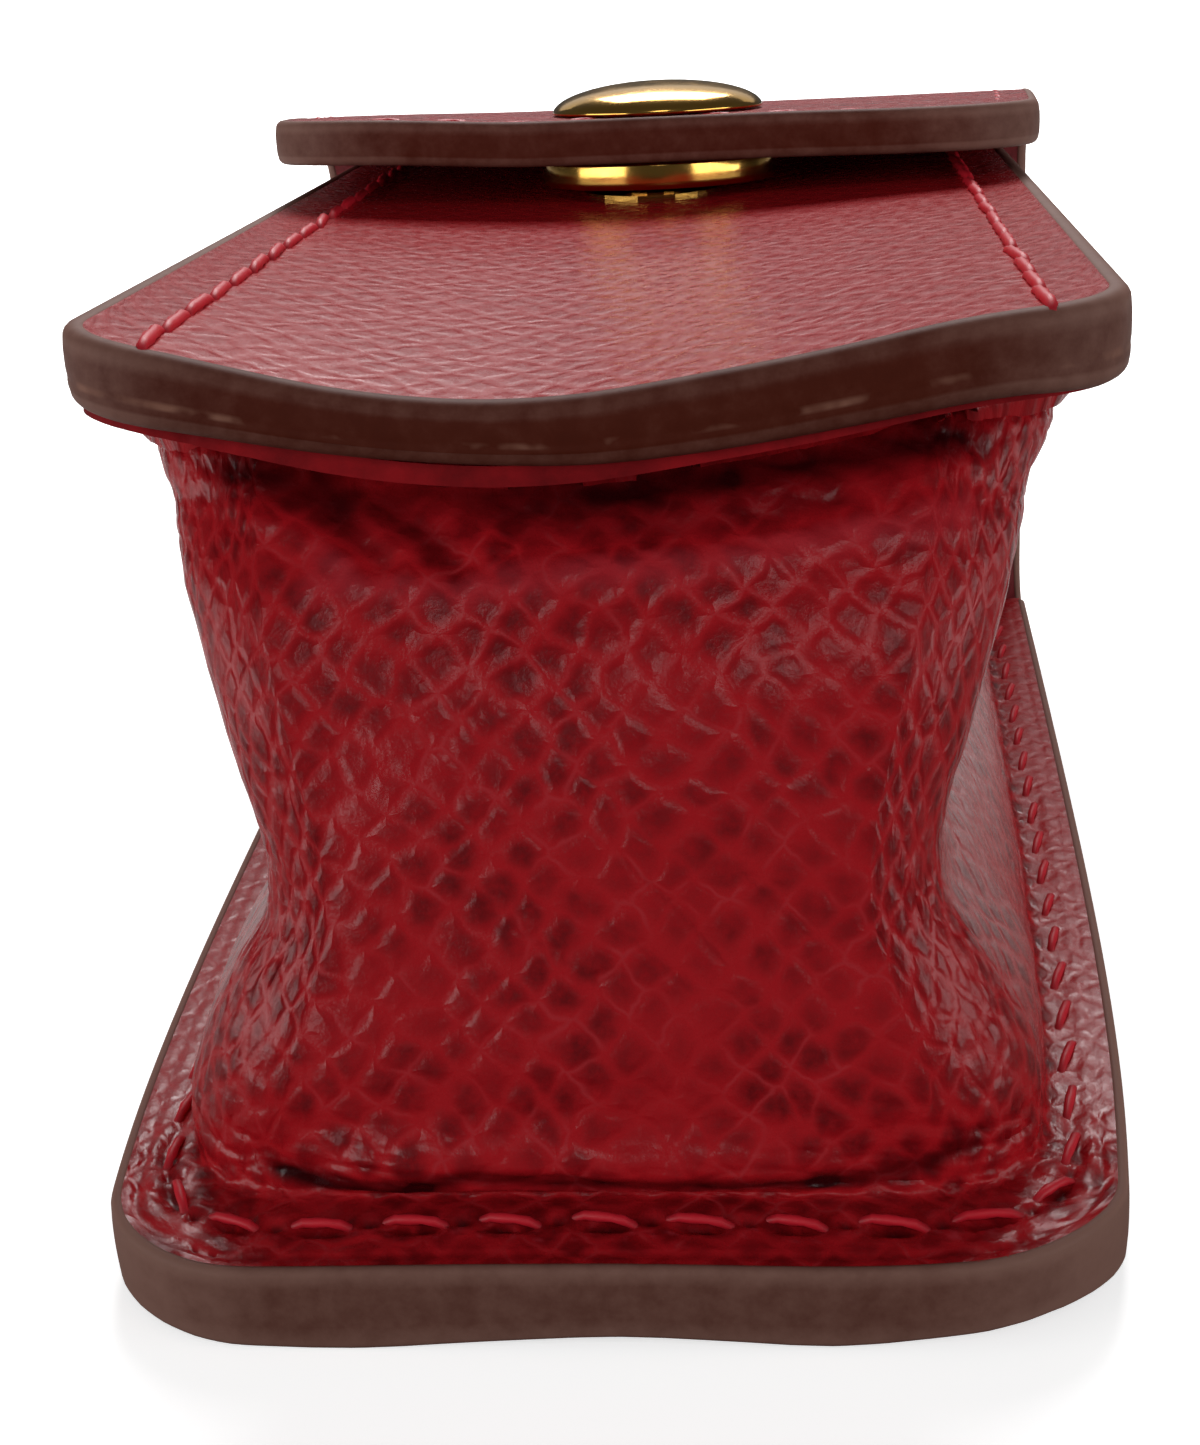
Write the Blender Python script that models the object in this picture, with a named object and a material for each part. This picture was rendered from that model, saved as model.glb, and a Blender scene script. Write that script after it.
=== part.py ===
"""Leather lighter case: a small gusseted pouch with a wrap-over flap and a brass snap.

The case lies on its back panel. X is its width, Y runs from the closed bottom end to the mouth,
and Z is up. One long lined strip makes the back panel, the cover over the mouth and the flap.
A U-shaped gusset, its flanges turned outward, joins the back panel to the front panel.
Lengths are metres, and the origin is the middle of the box on the surface the case lies on.
"""
import math

import bpy
import bmesh
from mathutils import Vector

mm = 0.001

# Case outline
case_length = 80.0 * mm
case_depth = 32.9 * mm
corner_radius = 5.3 * mm

# Back panel: its width at the bottom edge before the corners are cut, and at the mouth. The sides
# flare quickly just past the corners and gently from there on.
bottom_width = 36.8 * mm
mouth_width = 44.2 * mm
quick_flare_share = 0.57
quick_flare_reach = 0.16

# Leather layers, the glue between them and the butted ends where a fold begins
outer_thickness = 1.2 * mm
lining_thickness = 0.8 * mm
gusset_thickness = 0.8 * mm
gusset_lining_thickness = 0.5 * mm
glue_line = 0.2 * mm
fold_seam = 0.3 * mm
edge_rounding = 0.3 * mm
rounded_edge_angle = math.radians(50.0)

# Folds of the strip, measured on their outer face
rear_fold_radius = 5.0 * mm
front_fold_radius = 4.5 * mm

# Front panel. Its bottom edge sits back from the case's, runs in a slight bow and curls up
# towards both corners.
front_setback = 11.0 * mm
front_bottom_width = 39.6 * mm
front_mouth_width = 39.9 * mm
front_corner_radius = 4.2 * mm
front_bow = 0.7 * mm
front_curl = 1.95 * mm
front_curl_power = 1.6
mouth_clearance = 0.5 * mm

# Gusset
back_flange_width = 5.3 * mm
side_flange_width = 3.6 * mm
front_flange_width = 4.2 * mm
flange_trim = 0.2 * mm
flange_bend_radius = 0.9 * mm
waist_depth = 3.9 * mm
foot_corner_radius = 3.4 * mm
waist_corner_radius = 2.2 * mm
pillow_bulge = 0.6 * mm

# Flap
flap_reach = 28.6 * mm
flap_tip_width = 40.0 * mm
flap_corner_radius = 4.5 * mm
flap_land = 12.0 * mm
flap_land_slope = math.radians(3.5)
flap_fold_slope = math.radians(8.0)
flap_stand = 1.8 * mm

# Snap: cap and socket on the flap, stud and post on the front panel
snap_inset = 7.0 * mm
cap_radius = 5.7 * mm
cap_height = 1.2 * mm
cap_wall = 0.4 * mm
cap_rim_height = 0.25 * mm
cap_rim_rounding = 0.12 * mm
cap_dome_height = 1.45 * mm
cap_post_radius = 1.4 * mm
cap_post_bore_radius = 0.9 * mm
rolled_end_radius = 2.0 * mm
rolled_end_thickness = 0.25 * mm
socket_radius = 6.4 * mm
socket_height = 1.35 * mm
socket_plate = 0.35 * mm
socket_rim_rounding = 0.4 * mm
socket_mouth_radius = 2.95 * mm
socket_groove_radius = 3.7 * mm
socket_lip = 0.2 * mm
spring_wire_radius = 0.19 * mm
spring_leg_offset = 2.1 * mm
spring_leg_length = 3.2 * mm
spring_bend_offset = 0.9 * mm
stud_base_radius = 3.9 * mm
stud_base_thickness = 0.3 * mm
stud_neck_radius = 1.45 * mm
stud_head_radius = 1.8 * mm
stud_height = 1.0 * mm
stud_wall = 0.35 * mm
stud_sink = 0.3 * mm
post_flange_radius = 4.2 * mm
post_flange_thickness = 0.35 * mm
post_barrel_radius = 0.85 * mm
post_bore_radius = 0.5 * mm
metal_seat = 0.1 * mm
hole_clearance = 0.15 * mm
cut_overrun = 1.0 * mm

# Facets
corner_steps = 6
turned_segments = 36

# Gusset profile from foot to neck. Height is a share of the free wall, waist is a share of
# waist_depth, and lean is a share of the way from the foot crease to the neck crease.
wall_height_shares = (0.09, 0.18, 0.29, 0.37, 0.44, 0.51, 0.59, 0.69, 0.79, 0.87, 0.93)
wall_waist_shares = (0.06, 0.26, 0.62, 0.92, 1.00, 0.93, 0.74, 0.50, 0.27, 0.12, 0.03)
wall_lean_shares = (0.02, 0.05, 0.09, 0.13, 0.17, 0.21, 0.27, 0.36, 0.51, 0.71, 0.90)
side_stations = 8
near_stations = 10

# Worked out from the sizes above
panel_thickness = outer_thickness + glue_line + lining_thickness
half_panel = panel_thickness / 2
edge_thickness = panel_thickness + glue_line + gusset_thickness
bottom_y = -case_length / 2
cover_y = case_length / 2 - half_panel
rear_bend = rear_fold_radius - half_panel
front_bend = front_fold_radius - half_panel
rear_fold_y = cover_y - rear_bend
gusset_mouth_y = rear_fold_y - mouth_clearance
front_bottom_y = bottom_y + front_setback
front_underside = case_depth - panel_thickness
back_flange_z = panel_thickness + glue_line + gusset_thickness / 2
front_flange_z = case_depth - edge_thickness + gusset_thickness / 2
flap_tip_y = case_length / 2 - flap_reach
snap_y = flap_tip_y + snap_inset * math.cos(flap_land_slope)
flap_snap_z = case_depth + flap_stand + half_panel / math.cos(flap_land_slope)
flap_tip_z = flap_snap_z + snap_inset * math.sin(flap_land_slope)
front_fold_turn = math.pi / 2 - flap_fold_slope
flap_root_y = cover_y - front_bend + front_bend * math.sin(flap_fold_slope)
crown_run = flap_root_y - flap_tip_y - flap_land * math.cos(flap_land_slope)
crown_radius = crown_run / (math.sin(flap_fold_slope) - math.sin(flap_land_slope))
crown_drop = crown_radius * (math.cos(flap_land_slope) - math.cos(flap_fold_slope))
flap_root_z = flap_tip_z - flap_land * math.sin(flap_land_slope) - crown_drop
front_fold_z = flap_root_z - front_bend * math.cos(flap_fold_slope)


def clear_scene():
    for item in list(bpy.data.objects):
        bpy.data.objects.remove(item, do_unlink=True)


def make_material(name, colour, roughness, metallic):
    material = bpy.data.materials.new(name)
    material.use_nodes = True
    shader = material.node_tree.nodes["Principled BSDF"]
    shader.inputs["Base Color"].default_value = (*colour, 1.0)
    shader.inputs["Roughness"].default_value = roughness
    shader.inputs["Metallic"].default_value = metallic
    material.diffuse_color = (*colour, 1.0)
    return material


def add_object(name, bm, material, smooth_angle=math.radians(40)):
    bmesh.ops.recalc_face_normals(bm, faces=bm.faces)
    mesh = bpy.data.meshes.new(name)
    bm.to_mesh(mesh)
    bm.free()
    mesh.materials.append(material)
    mesh.shade_smooth()
    mesh.set_sharp_from_angle(angle=smooth_angle)
    item = bpy.data.objects.new(name, mesh)
    bpy.context.scene.collection.objects.link(item)
    return item


def add_edge_rounding(item, width):
    bevel = item.modifiers.new("Rounded edge", "BEVEL")
    bevel.width = width
    bevel.segments = 2
    bevel.limit_method = "ANGLE"
    bevel.angle_limit = rounded_edge_angle


def blend_value(start, end, share):
    return start + (end - start) * share


# The strip, followed along the middle of its thickness from the bottom edge to the flap tip.
# Each run has a length, a start point and heading, and a bend radius where it turns.

def strip_runs():
    lengths = (
        ("back", rear_fold_y - bottom_y, None),
        ("rear_fold", rear_bend * math.pi / 2, rear_bend),
        ("cover", front_fold_z - half_panel - rear_bend, None),
        ("front_fold", front_bend * front_fold_turn, front_bend),
        ("crown", crown_radius * (flap_fold_slope - flap_land_slope), crown_radius),
        ("land", flap_land, None),
    )
    runs = {}
    y, z, heading, start = bottom_y, half_panel, 0.0, 0.0
    for name, length, radius in lengths:
        runs[name] = (start, length, radius, y, z, heading)
        y, z, heading = run_point(runs[name], length)
        start += length
    return runs


def run_point(run, distance):
    start, length, radius, y, z, heading = run
    if radius is None:
        return y + distance * math.cos(heading), z + distance * math.sin(heading), heading
    turn = distance / radius
    centre_y = y - radius * math.sin(heading)
    centre_z = z + radius * math.cos(heading)
    heading += turn
    return centre_y + radius * math.sin(heading), centre_z - radius * math.cos(heading), heading


def strip_point(runs, distance):
    for run in runs.values():
        start, length = run[0], run[1]
        if distance <= start + length:
            return run_point(run, distance - start)
    return run_point(run, distance - start)


def fold_axis(run):
    """The line about which a fold straightens without stretching the leather."""
    start, length, radius, y, z, heading = run
    half_turn = length / radius / 2
    along = Vector((0, math.cos(heading), math.sin(heading)))
    outward = Vector((0, math.sin(heading), -math.cos(heading)))
    centre = Vector((0, y, z)) - outward * radius
    return centre + (along + outward / math.tan(half_turn)) * (radius * half_turn)


def corner_columns(half_width, radius, middle_steps):
    """Shares of the half width across an end, with how far each is cut back by the corner."""
    side = []
    for step in range(corner_steps + 1):
        angle = math.pi / 2 * step / corner_steps
        across = half_width - radius + radius * math.sin(angle)
        side.append((across / half_width, radius - radius * math.cos(angle)))
    middle = []
    for step in range(1, middle_steps):
        share = side[0][0] * (2 * step / middle_steps - 1)
        middle.append((share, 0.0))
    left = [(-share, cut) for share, cut in reversed(side)]
    return left + middle + side


def plain_columns(middle_steps):
    return [(2 * step / middle_steps - 1, 0.0) for step in range(middle_steps + 1)]


def sheet_solid(columns, row_shares, place, low, high):
    """A closed sheet between two offsets from a surface given by place(share, cut, row, offset)."""
    bm = bmesh.new()
    faces = {}
    for offset in (low, high):
        faces[offset] = [
            [bm.verts.new(place(share, cut, row, offset)) for share, cut in columns]
            for row in row_shares
        ]
    rows, count = len(row_shares), len(columns)
    bottom, top = faces[low], faces[high]
    for row in range(rows - 1):
        for column in range(count - 1):
            for grid in (bottom, top):
                bm.faces.new((grid[row][column], grid[row][column + 1],
                              grid[row + 1][column + 1], grid[row + 1][column]))
    for row in range(rows - 1):
        for column in (0, count - 1):
            bm.faces.new((bottom[row][column], bottom[row + 1][column],
                          top[row + 1][column], top[row][column]))
    for column in range(count - 1):
        for row in (0, rows - 1):
            bm.faces.new((bottom[row][column], bottom[row][column + 1],
                          top[row][column + 1], top[row][column]))
    return bm


def even_shares(steps):
    return [step / steps for step in range(steps + 1)]


def back_half_width(y):
    share = min(1.0, max(0.0, (y - bottom_y) / (rear_fold_y - bottom_y)))
    quick = math.expm1(-share / quick_flare_reach) / math.expm1(-1.0 / quick_flare_reach)
    flare = blend_value(share, quick, quick_flare_share)
    return blend_value(bottom_width, mouth_width, flare) / 2


def front_half_width(y):
    share = min(1.0, max(0.0, (y - front_bottom_y) / (gusset_mouth_y - front_bottom_y)))
    return blend_value(front_bottom_width, front_mouth_width, share) / 2


def front_edge_y(x):
    """The front panel's bottom edge, bowed towards the case's own bottom edge in the middle."""
    return front_bottom_y + front_bow * (x / (front_bottom_width / 2)) ** 2


def front_rise(x, y):
    """How far the front panel curls up at a point: most at the bottom corners, none at the mouth."""
    across = abs(x) / (front_bottom_width / 2)
    along = (gusset_mouth_y - y) / (gusset_mouth_y - front_bottom_y)
    return front_curl * across ** front_curl_power * min(1.0, max(0.0, along))


def strip_layers():
    """Offsets from the middle of the strip, outward positive, of its two leathers."""
    return {
        "outer": (half_panel - outer_thickness, half_panel),
        "lining": (-half_panel, lining_thickness - half_panel),
    }


def build_strip(runs, leather):
    """Back panel, rear fold, cover, front fold and flap, each an outer leather and a lining."""
    flap_start = runs["crown"][0]
    flap_length = runs["crown"][1] + runs["land"][1]
    flap_end = flap_start + flap_length
    pieces = {
        "back": (0.0, rear_fold_y - bottom_y - fold_seam),
        "rear_fold": (runs["rear_fold"][0], runs["cover"][0]),
        "cover": (runs["cover"][0] + fold_seam, runs["front_fold"][0] - fold_seam),
        "front_fold": (runs["front_fold"][0], flap_start),
        "flap": (flap_start + fold_seam, flap_end),
    }
    columns = {
        "back": corner_columns(bottom_width / 2, corner_radius, 6),
        "rear_fold": plain_columns(2),
        "cover": plain_columns(4),
        "front_fold": plain_columns(2),
        "flap": corner_columns(flap_tip_width / 2, flap_corner_radius, 6),
    }
    rows = {"back": 6, "rear_fold": 10, "cover": 4, "front_fold": 10, "flap": 12}

    def half_width(name, distance):
        if name == "back":
            return back_half_width(bottom_y + distance)
        if name == "flap":
            share = (distance - flap_start) / flap_length
            return blend_value(mouth_width, flap_tip_width, share) / 2
        return mouth_width / 2

    made = {}
    for name, (start, end) in pieces.items():
        def place(share, cut, row, offset, name=name, start=start, end=end):
            if name == "back":
                distance = blend_value(start + cut, end, row)
            else:
                distance = blend_value(start, end - cut, row)
            y, z, heading = strip_point(runs, distance)
            x = share * half_width(name, distance)
            return (x, y + offset * math.sin(heading), z - offset * math.cos(heading))

        for layer, (low, high) in strip_layers().items():
            bm = sheet_solid(columns[name], even_shares(rows[name]), place, low, high)
            item = add_object(f"{name}_{layer}", bm, leather[layer])
            if layer == "outer" and "fold" not in name:
                add_edge_rounding(item, edge_rounding)
            made[f"{name}_{layer}"] = item
    return made


def build_front(leather):
    """The front panel: a curled leather over its lining, cut round at the bottom corners."""
    columns = corner_columns(front_bottom_width / 2, front_corner_radius, 10)

    def place(share, cut, row, offset):
        edge_y = front_edge_y(share * front_bottom_width / 2)
        y = blend_value(edge_y + cut, gusset_mouth_y, row)
        x = share * front_half_width(y)
        return (x, y, front_underside + offset + front_rise(x, y))

    layers = {
        "front_lining": (0.0, lining_thickness),
        "front_outer": (panel_thickness - outer_thickness, panel_thickness),
    }
    made = {}
    for name, (low, high) in layers.items():
        bm = sheet_solid(columns, even_shares(8), place, low, high)
        made[name] = add_object(name, bm, leather[name.split("_")[1]])
    add_edge_rounding(made["front_outer"], edge_rounding)
    return made


def gusset_rows():
    """Rows of the gusset's middle surface, from the back flange edge to the front flange edge.

    Each row holds its height share, its height offset, its inset from the sides, its inset from
    the bottom edge of its own panel, its lean share, its corner radius and its bulge.
    """
    bend = flange_bend_radius
    half_turn = bend * (1 - math.cos(math.pi / 4))
    rows = []

    def flange(height, sign, near_width, panel_corner):
        side = side_flange_width
        corner = foot_corner_radius
        edge = (height, 0.0, flange_trim, flange_trim, height, panel_corner - flange_trim, 0.0)
        root = (height, 0.0, side - bend, near_width - bend, height, corner + bend, 0.0)
        turn = (height, sign * half_turn, side - half_turn, near_width - half_turn, height,
                corner + half_turn, 0.0)
        wall = (height, sign * bend, side, near_width, height, corner, 0.0)
        return [edge, root, turn, wall]

    rows += flange(0.0, 1, back_flange_width, corner_radius)
    table = zip(wall_height_shares, wall_waist_shares, wall_lean_shares)
    for height, waist, lean in table:
        side = side_flange_width + waist_depth * waist
        near = blend_value(back_flange_width, front_flange_width, lean)
        corner = blend_value(foot_corner_radius, waist_corner_radius, waist)
        bulge = pillow_bulge * math.sin(math.pi * height)
        rows.append((height, 0.0, side, near, lean, corner, bulge))
    rows += reversed(flange(1.0, -1, front_flange_width, front_corner_radius))
    return rows


def gusset_point(row, part, share):
    """A point on one row: part is right, right_corner, near, left_corner or left."""
    height, lift, side, near, lean, corner, bulge = row
    near_y = blend_value(bottom_y, front_bottom_y, lean) + near
    corner_y = near_y + corner

    def half_width(y):
        return blend_value(back_half_width(y), front_half_width(y), height) - side

    inner = half_width(corner_y) - corner
    if part == "near":
        across = 1 - 2 * share
        x = inner * across
        y = near_y - bulge * (1 - across * across) + lean * (front_edge_y(x) - front_bottom_y)
    elif part.endswith("corner"):
        angle = math.pi / 2 * share
        x = inner + corner * math.cos(angle)
        y = corner_y - corner * math.sin(angle) + lean * (front_edge_y(x) - front_bottom_y)
    else:
        y = blend_value(gusset_mouth_y, corner_y, share)
        x = half_width(y)
    if part.startswith("left"):
        x = -x
    z = blend_value(back_flange_z, front_flange_z, height) + lift
    return Vector((x, y, z + front_rise(x, y) * height))


def gusset_stations():
    side = [("right", step / side_stations) for step in range(side_stations)]
    corner = [("right_corner", step / corner_steps) for step in range(corner_steps)]
    near = [("near", step / near_stations) for step in range(near_stations)]
    far_corner = [("left_corner", 1 - step / corner_steps) for step in range(corner_steps)]
    far_side = [("left", 1 - step / side_stations) for step in range(side_stations + 1)]
    return side + corner + near + far_corner + far_side


def gusset_sheet(rows, inward):
    """An open sheet through the rows, moved inward from the middle surface along its normals."""
    bm = bmesh.new()
    stations = gusset_stations()
    grid = [[bm.verts.new(gusset_point(row, *station)) for station in stations] for row in rows]
    for low, high in zip(grid, grid[1:]):
        for index in range(len(stations) - 1):
            bm.faces.new((low[index], high[index], high[index + 1], low[index + 1]))
    bm.normal_update()
    near_middle = grid[len(grid) // 2][len(stations) // 2]
    outward = 1 if near_middle.normal.y < 0 else -1
    moved = [(vert, vert.normal * (-outward * inward)) for vert in bm.verts]
    for vert, shift in moved:
        vert.co += shift
    return bm


def add_sheet_object(name, bm, thickness, material):
    mesh = bpy.data.meshes.new(name)
    bm.to_mesh(mesh)
    bm.free()
    mesh.materials.append(material)
    mesh.shade_smooth()
    item = bpy.data.objects.new(name, mesh)
    bpy.context.scene.collection.objects.link(item)
    solid = item.modifiers.new("Leather", "SOLIDIFY")
    solid.thickness = thickness
    solid.offset = 0.0
    solid.use_even_offset = True
    return item


def build_gusset(leather):
    rows = gusset_rows()
    inward = (gusset_thickness + gusset_lining_thickness) / 2 + glue_line
    lining_rows = rows[4:-4]
    return {
        "gusset_outer": add_sheet_object(
            "gusset_outer", gusset_sheet(rows, 0.0), gusset_thickness, leather["outer"]),
        "gusset_lining": add_sheet_object(
            "gusset_lining", gusset_sheet(lining_rows, inward), gusset_lining_thickness,
            leather["lining"]),
    }


def turned_solid(profile, segments):
    """A closed profile of radius and height pairs, turned about Z. Radius zero is the axis."""
    bm = bmesh.new()
    rings = []
    for radius, height in profile:
        if radius == 0.0:
            rings.append([bm.verts.new((0, 0, height))])
            continue
        ring = []
        for step in range(segments):
            angle = 2 * math.pi * step / segments
            ring.append(bm.verts.new((radius * math.cos(angle), radius * math.sin(angle), height)))
        rings.append(ring)
    on_axis = [ring for ring in rings if len(ring) == 1]
    pairs = list(zip(rings, rings[1:]))
    if not on_axis:
        pairs.append((rings[-1], rings[0]))
    for first, second in pairs:
        for step in range(segments):
            after = (step + 1) % segments
            corners = [first[step % len(first)], first[after % len(first)],
                       second[after % len(second)], second[step % len(second)]]
            unique = list(dict.fromkeys(corners))
            if len(unique) > 2:
                bm.faces.new(unique)
    return bm


def quarter(centre_radius, centre_height, radius, start, end, steps):
    """Points of an arc in the turned profile, from one angle in degrees to another."""
    points = []
    for step in range(steps + 1):
        angle = math.radians(blend_value(start, end, step / steps))
        points.append((centre_radius + radius * math.cos(angle),
                       centre_height + radius * math.sin(angle)))
    return points


def cap_profile():
    """Domed shell on a low rim, a hollow post through the leather and its rolled end.

    The dome is the top of a flat ellipsoid. Height zero is the outer face of the flap.
    """
    seat = metal_seat
    crown = seat + cap_height
    dome_rise = cap_height - cap_rim_height
    edge_angle = math.acos(1 - dome_rise / cap_dome_height)
    dome_radius = cap_radius / math.sin(edge_angle)
    dome_centre = crown - cap_dome_height
    inner_height = cap_dome_height - cap_wall
    inner_radius = dome_radius - cap_wall
    inner_angle = math.asin((cap_radius - cap_wall) / inner_radius)
    post_angle = math.asin(cap_post_radius / inner_radius)
    outside = [(0.0, crown)]
    steps = 9
    for step in range(1, steps + 1):
        angle = edge_angle * step / steps
        outside.append((dome_radius * math.sin(angle),
                        dome_centre + cap_dome_height * math.cos(angle)))
    rim = quarter(cap_radius - cap_rim_rounding, seat + cap_rim_rounding, cap_rim_rounding, 0, -90, 3)
    inside = [(cap_radius - cap_wall, seat)]
    inner_steps = 5
    for step in range(inner_steps + 1):
        angle = blend_value(inner_angle, post_angle, step / inner_steps)
        inside.append((inner_radius * math.sin(angle), dome_centre + inner_height * math.cos(angle)))
    bottom = -(panel_thickness + metal_seat + socket_plate + metal_seat + rolled_end_thickness)
    shelf = bottom + rolled_end_thickness
    bore_top = -outer_thickness
    post = [(cap_post_radius, shelf), (rolled_end_radius, shelf), (rolled_end_radius, bottom),
            (cap_post_bore_radius, bottom), (cap_post_bore_radius, bore_top), (0.0, bore_top)]
    return outside + rim + inside + post


def socket_profile():
    """Ring pressed to the underside of the flap. Height zero is the flap's inner face."""
    top = -metal_seat
    bottom = top - socket_height
    plate = top - socket_plate
    lip = bottom + socket_lip
    hole = cap_post_radius + hole_clearance
    round_centre = socket_radius - socket_rim_rounding
    outer = quarter(round_centre, bottom + socket_rim_rounding, socket_rim_rounding, 0, -90, 3)
    return [(hole, top), (socket_radius, top)] + outer + [
        (socket_mouth_radius, bottom), (socket_mouth_radius, lip),
        (socket_groove_radius, lip), (socket_groove_radius, plate), (hole, plate)]


def stud_profile():
    """Hollow stud: base flange pressed into the leather, waisted neck and domed head.

    Height zero is the face of the front panel.
    """
    base = metal_seat - stud_sink
    base_top = base + stud_base_thickness
    head_radius = stud_head_radius
    crown = base + stud_height
    bore = post_barrel_radius + hole_clearance
    head_round = stud_wall
    head = quarter(head_radius - head_round, crown - head_round, head_round, -50, 90, 5)
    return [(bore, base), (stud_base_radius, base), (stud_base_radius, base_top),
            (stud_neck_radius, base_top)] + head + [(bore, crown)]


def post_profile():
    """Eyelet post from inside the case. Height zero is the face of the front lining."""
    top = -metal_seat
    bottom = top - post_flange_thickness
    barrel_top = panel_thickness + stud_height - stud_sink
    rounding = post_flange_thickness / 2
    rim = quarter(post_flange_radius - rounding, bottom + rounding, rounding, 90, -90, 4)
    return [(post_bore_radius, barrel_top), (post_barrel_radius, barrel_top),
            (post_barrel_radius, top)] + rim + [(post_bore_radius, bottom)]


def spring_wire(name, material):
    """Hairpin wire whose two legs pass either side of the stud's head."""
    bend_steps = 8
    points = [(-spring_leg_offset, spring_bend_offset - spring_leg_length)]
    for step in range(bend_steps + 1):
        angle = math.pi - math.pi * step / bend_steps
        points.append((spring_leg_offset * math.cos(angle),
                       spring_bend_offset + spring_leg_offset * math.sin(angle)))
    points.append((spring_leg_offset, spring_bend_offset - spring_leg_length))
    curve = bpy.data.curves.new(name, "CURVE")
    curve.dimensions = "3D"
    curve.bevel_depth = spring_wire_radius
    curve.bevel_resolution = 2
    curve.use_fill_caps = True
    spline = curve.splines.new("POLY")
    spline.points.add(len(points) - 1)
    for point, (x, y) in zip(spline.points, points):
        point.co = (x, y, 0.0, 1.0)
    curve.materials.append(material)
    item = bpy.data.objects.new(name, curve)
    bpy.context.scene.collection.objects.link(item)
    return item


def build_snap(metal):
    """Cap, socket and spring square to the flap land, stud and post square to the front panel."""
    outer_face = Vector((0, snap_y, flap_snap_z))
    tilt = -flap_land_slope
    flap_up = Vector((0, math.sin(flap_land_slope), math.cos(flap_land_slope)))
    spring_height = socket_height - socket_lip - spring_wire_radius - metal_seat
    profiles = {
        "snap_cap": (cap_profile(), outer_face + flap_up * half_panel, tilt),
        "snap_socket": (socket_profile(), outer_face - flap_up * half_panel, tilt),
        "snap_stud": (stud_profile(), Vector((0, snap_y, case_depth)), 0.0),
        "snap_post": (post_profile(), Vector((0, snap_y, front_underside)), 0.0),
    }
    made = {}
    for name, (profile, place, lean) in profiles.items():
        made[name] = add_object(name, turned_solid(profile, turned_segments), metal)
        made[name].location = place
        made[name].rotation_euler.x = lean
    spring = spring_wire("snap_spring", metal)
    spring.location = outer_face - flap_up * (half_panel + metal_seat + spring_height)
    spring.rotation_euler.x = tilt
    made["snap_spring"] = spring
    return made


def cut_post_hole(item, place, lean, radius, seat_radius=None):
    """A round hole for a post, square to the leather, with a pressed seat round it if asked."""
    depth = edge_thickness + cut_overrun
    profile = [(radius, -depth), (0.0, -depth)]
    if seat_radius is None:
        profile = [(0.0, depth), (radius, depth)] + profile
    else:
        profile = [(0.0, depth), (seat_radius, depth), (seat_radius, -stud_sink),
                   (radius, -stud_sink)] + profile
    cutter = add_object(f"{item.name}_hole_cutter", turned_solid(profile, turned_segments),
                        item.data.materials[0])
    cutter.location = place
    cutter.rotation_euler.x = lean
    cutter.hide_render = True
    cutter.display_type = "WIRE"
    hole = item.modifiers.new("Post hole", "BOOLEAN")
    hole.operation = "DIFFERENCE"
    hole.solver = "EXACT"
    hole.object = cutter
    return cutter


def add_axis(name, place, parent):
    empty = bpy.data.objects.new(name, None)
    empty.empty_display_type = "ARROWS"
    empty.empty_display_size = corner_radius
    bpy.context.scene.collection.objects.link(empty)
    empty.location = place
    if parent is not None:
        bpy.context.view_layer.update()
        empty.parent = parent
        empty.matrix_parent_inverse = parent.matrix_world.inverted()
    return empty


def carry(parent, items):
    """Parent pieces to the axis that moves them and leave them where they are."""
    bpy.context.view_layer.update()
    for item in items:
        item.parent = parent
        item.matrix_parent_inverse = parent.matrix_world.inverted()


def main():
    clear_scene()
    leather = {
        "outer": make_material("red grained leather", (0.30, 0.010, 0.018), 0.5, 0.0),
        "lining": make_material("red lining leather", (0.26, 0.016, 0.022), 0.7, 0.0),
    }
    brass = make_material("brass", (0.72, 0.50, 0.18), 0.25, 1.0)
    runs = strip_runs()
    pieces = build_strip(runs, leather)
    pieces.update(build_front(leather))
    pieces.update(build_gusset(leather))
    pieces.update(build_snap(brass))
    flap_middle = Vector((0, snap_y, flap_snap_z))
    front_middle = Vector((0, snap_y, case_depth))
    cap_hole = cap_post_radius + hole_clearance
    post_hole = post_barrel_radius + hole_clearance
    flap_cutters = [cut_post_hole(pieces[name], flap_middle, -flap_land_slope, cap_hole)
                    for name in ("flap_outer", "flap_lining")]
    stud_seat = stud_base_radius + hole_clearance
    cut_post_hole(pieces["front_outer"], front_middle, 0.0, post_hole, stud_seat)
    cut_post_hole(pieces["front_lining"], front_middle, 0.0, post_hole)
    cover_axis = add_axis("cover_hinge_axis", fold_axis(runs["rear_fold"]), None)
    flap_axis = add_axis("flap_hinge_axis", fold_axis(runs["front_fold"]), cover_axis)
    cover_names = ("cover_outer", "cover_lining", "front_fold_outer", "front_fold_lining")
    flap_names = ("flap_outer", "flap_lining", "snap_cap", "snap_socket", "snap_spring")
    carry(cover_axis, [pieces[name] for name in cover_names])
    carry(flap_axis, [pieces[name] for name in flap_names] + flap_cutters)
    for axis in (cover_axis, flap_axis):
        place = axis.matrix_world.translation
        print(f"{axis.name}: y {place.y:.6f} z {place.z:.6f}")


if __name__ == "__main__":
    main()
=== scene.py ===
import math
from collections import namedtuple
from functools import partial

import bpy
import numpy as np
from mathutils import Matrix, Vector, noise


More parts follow.
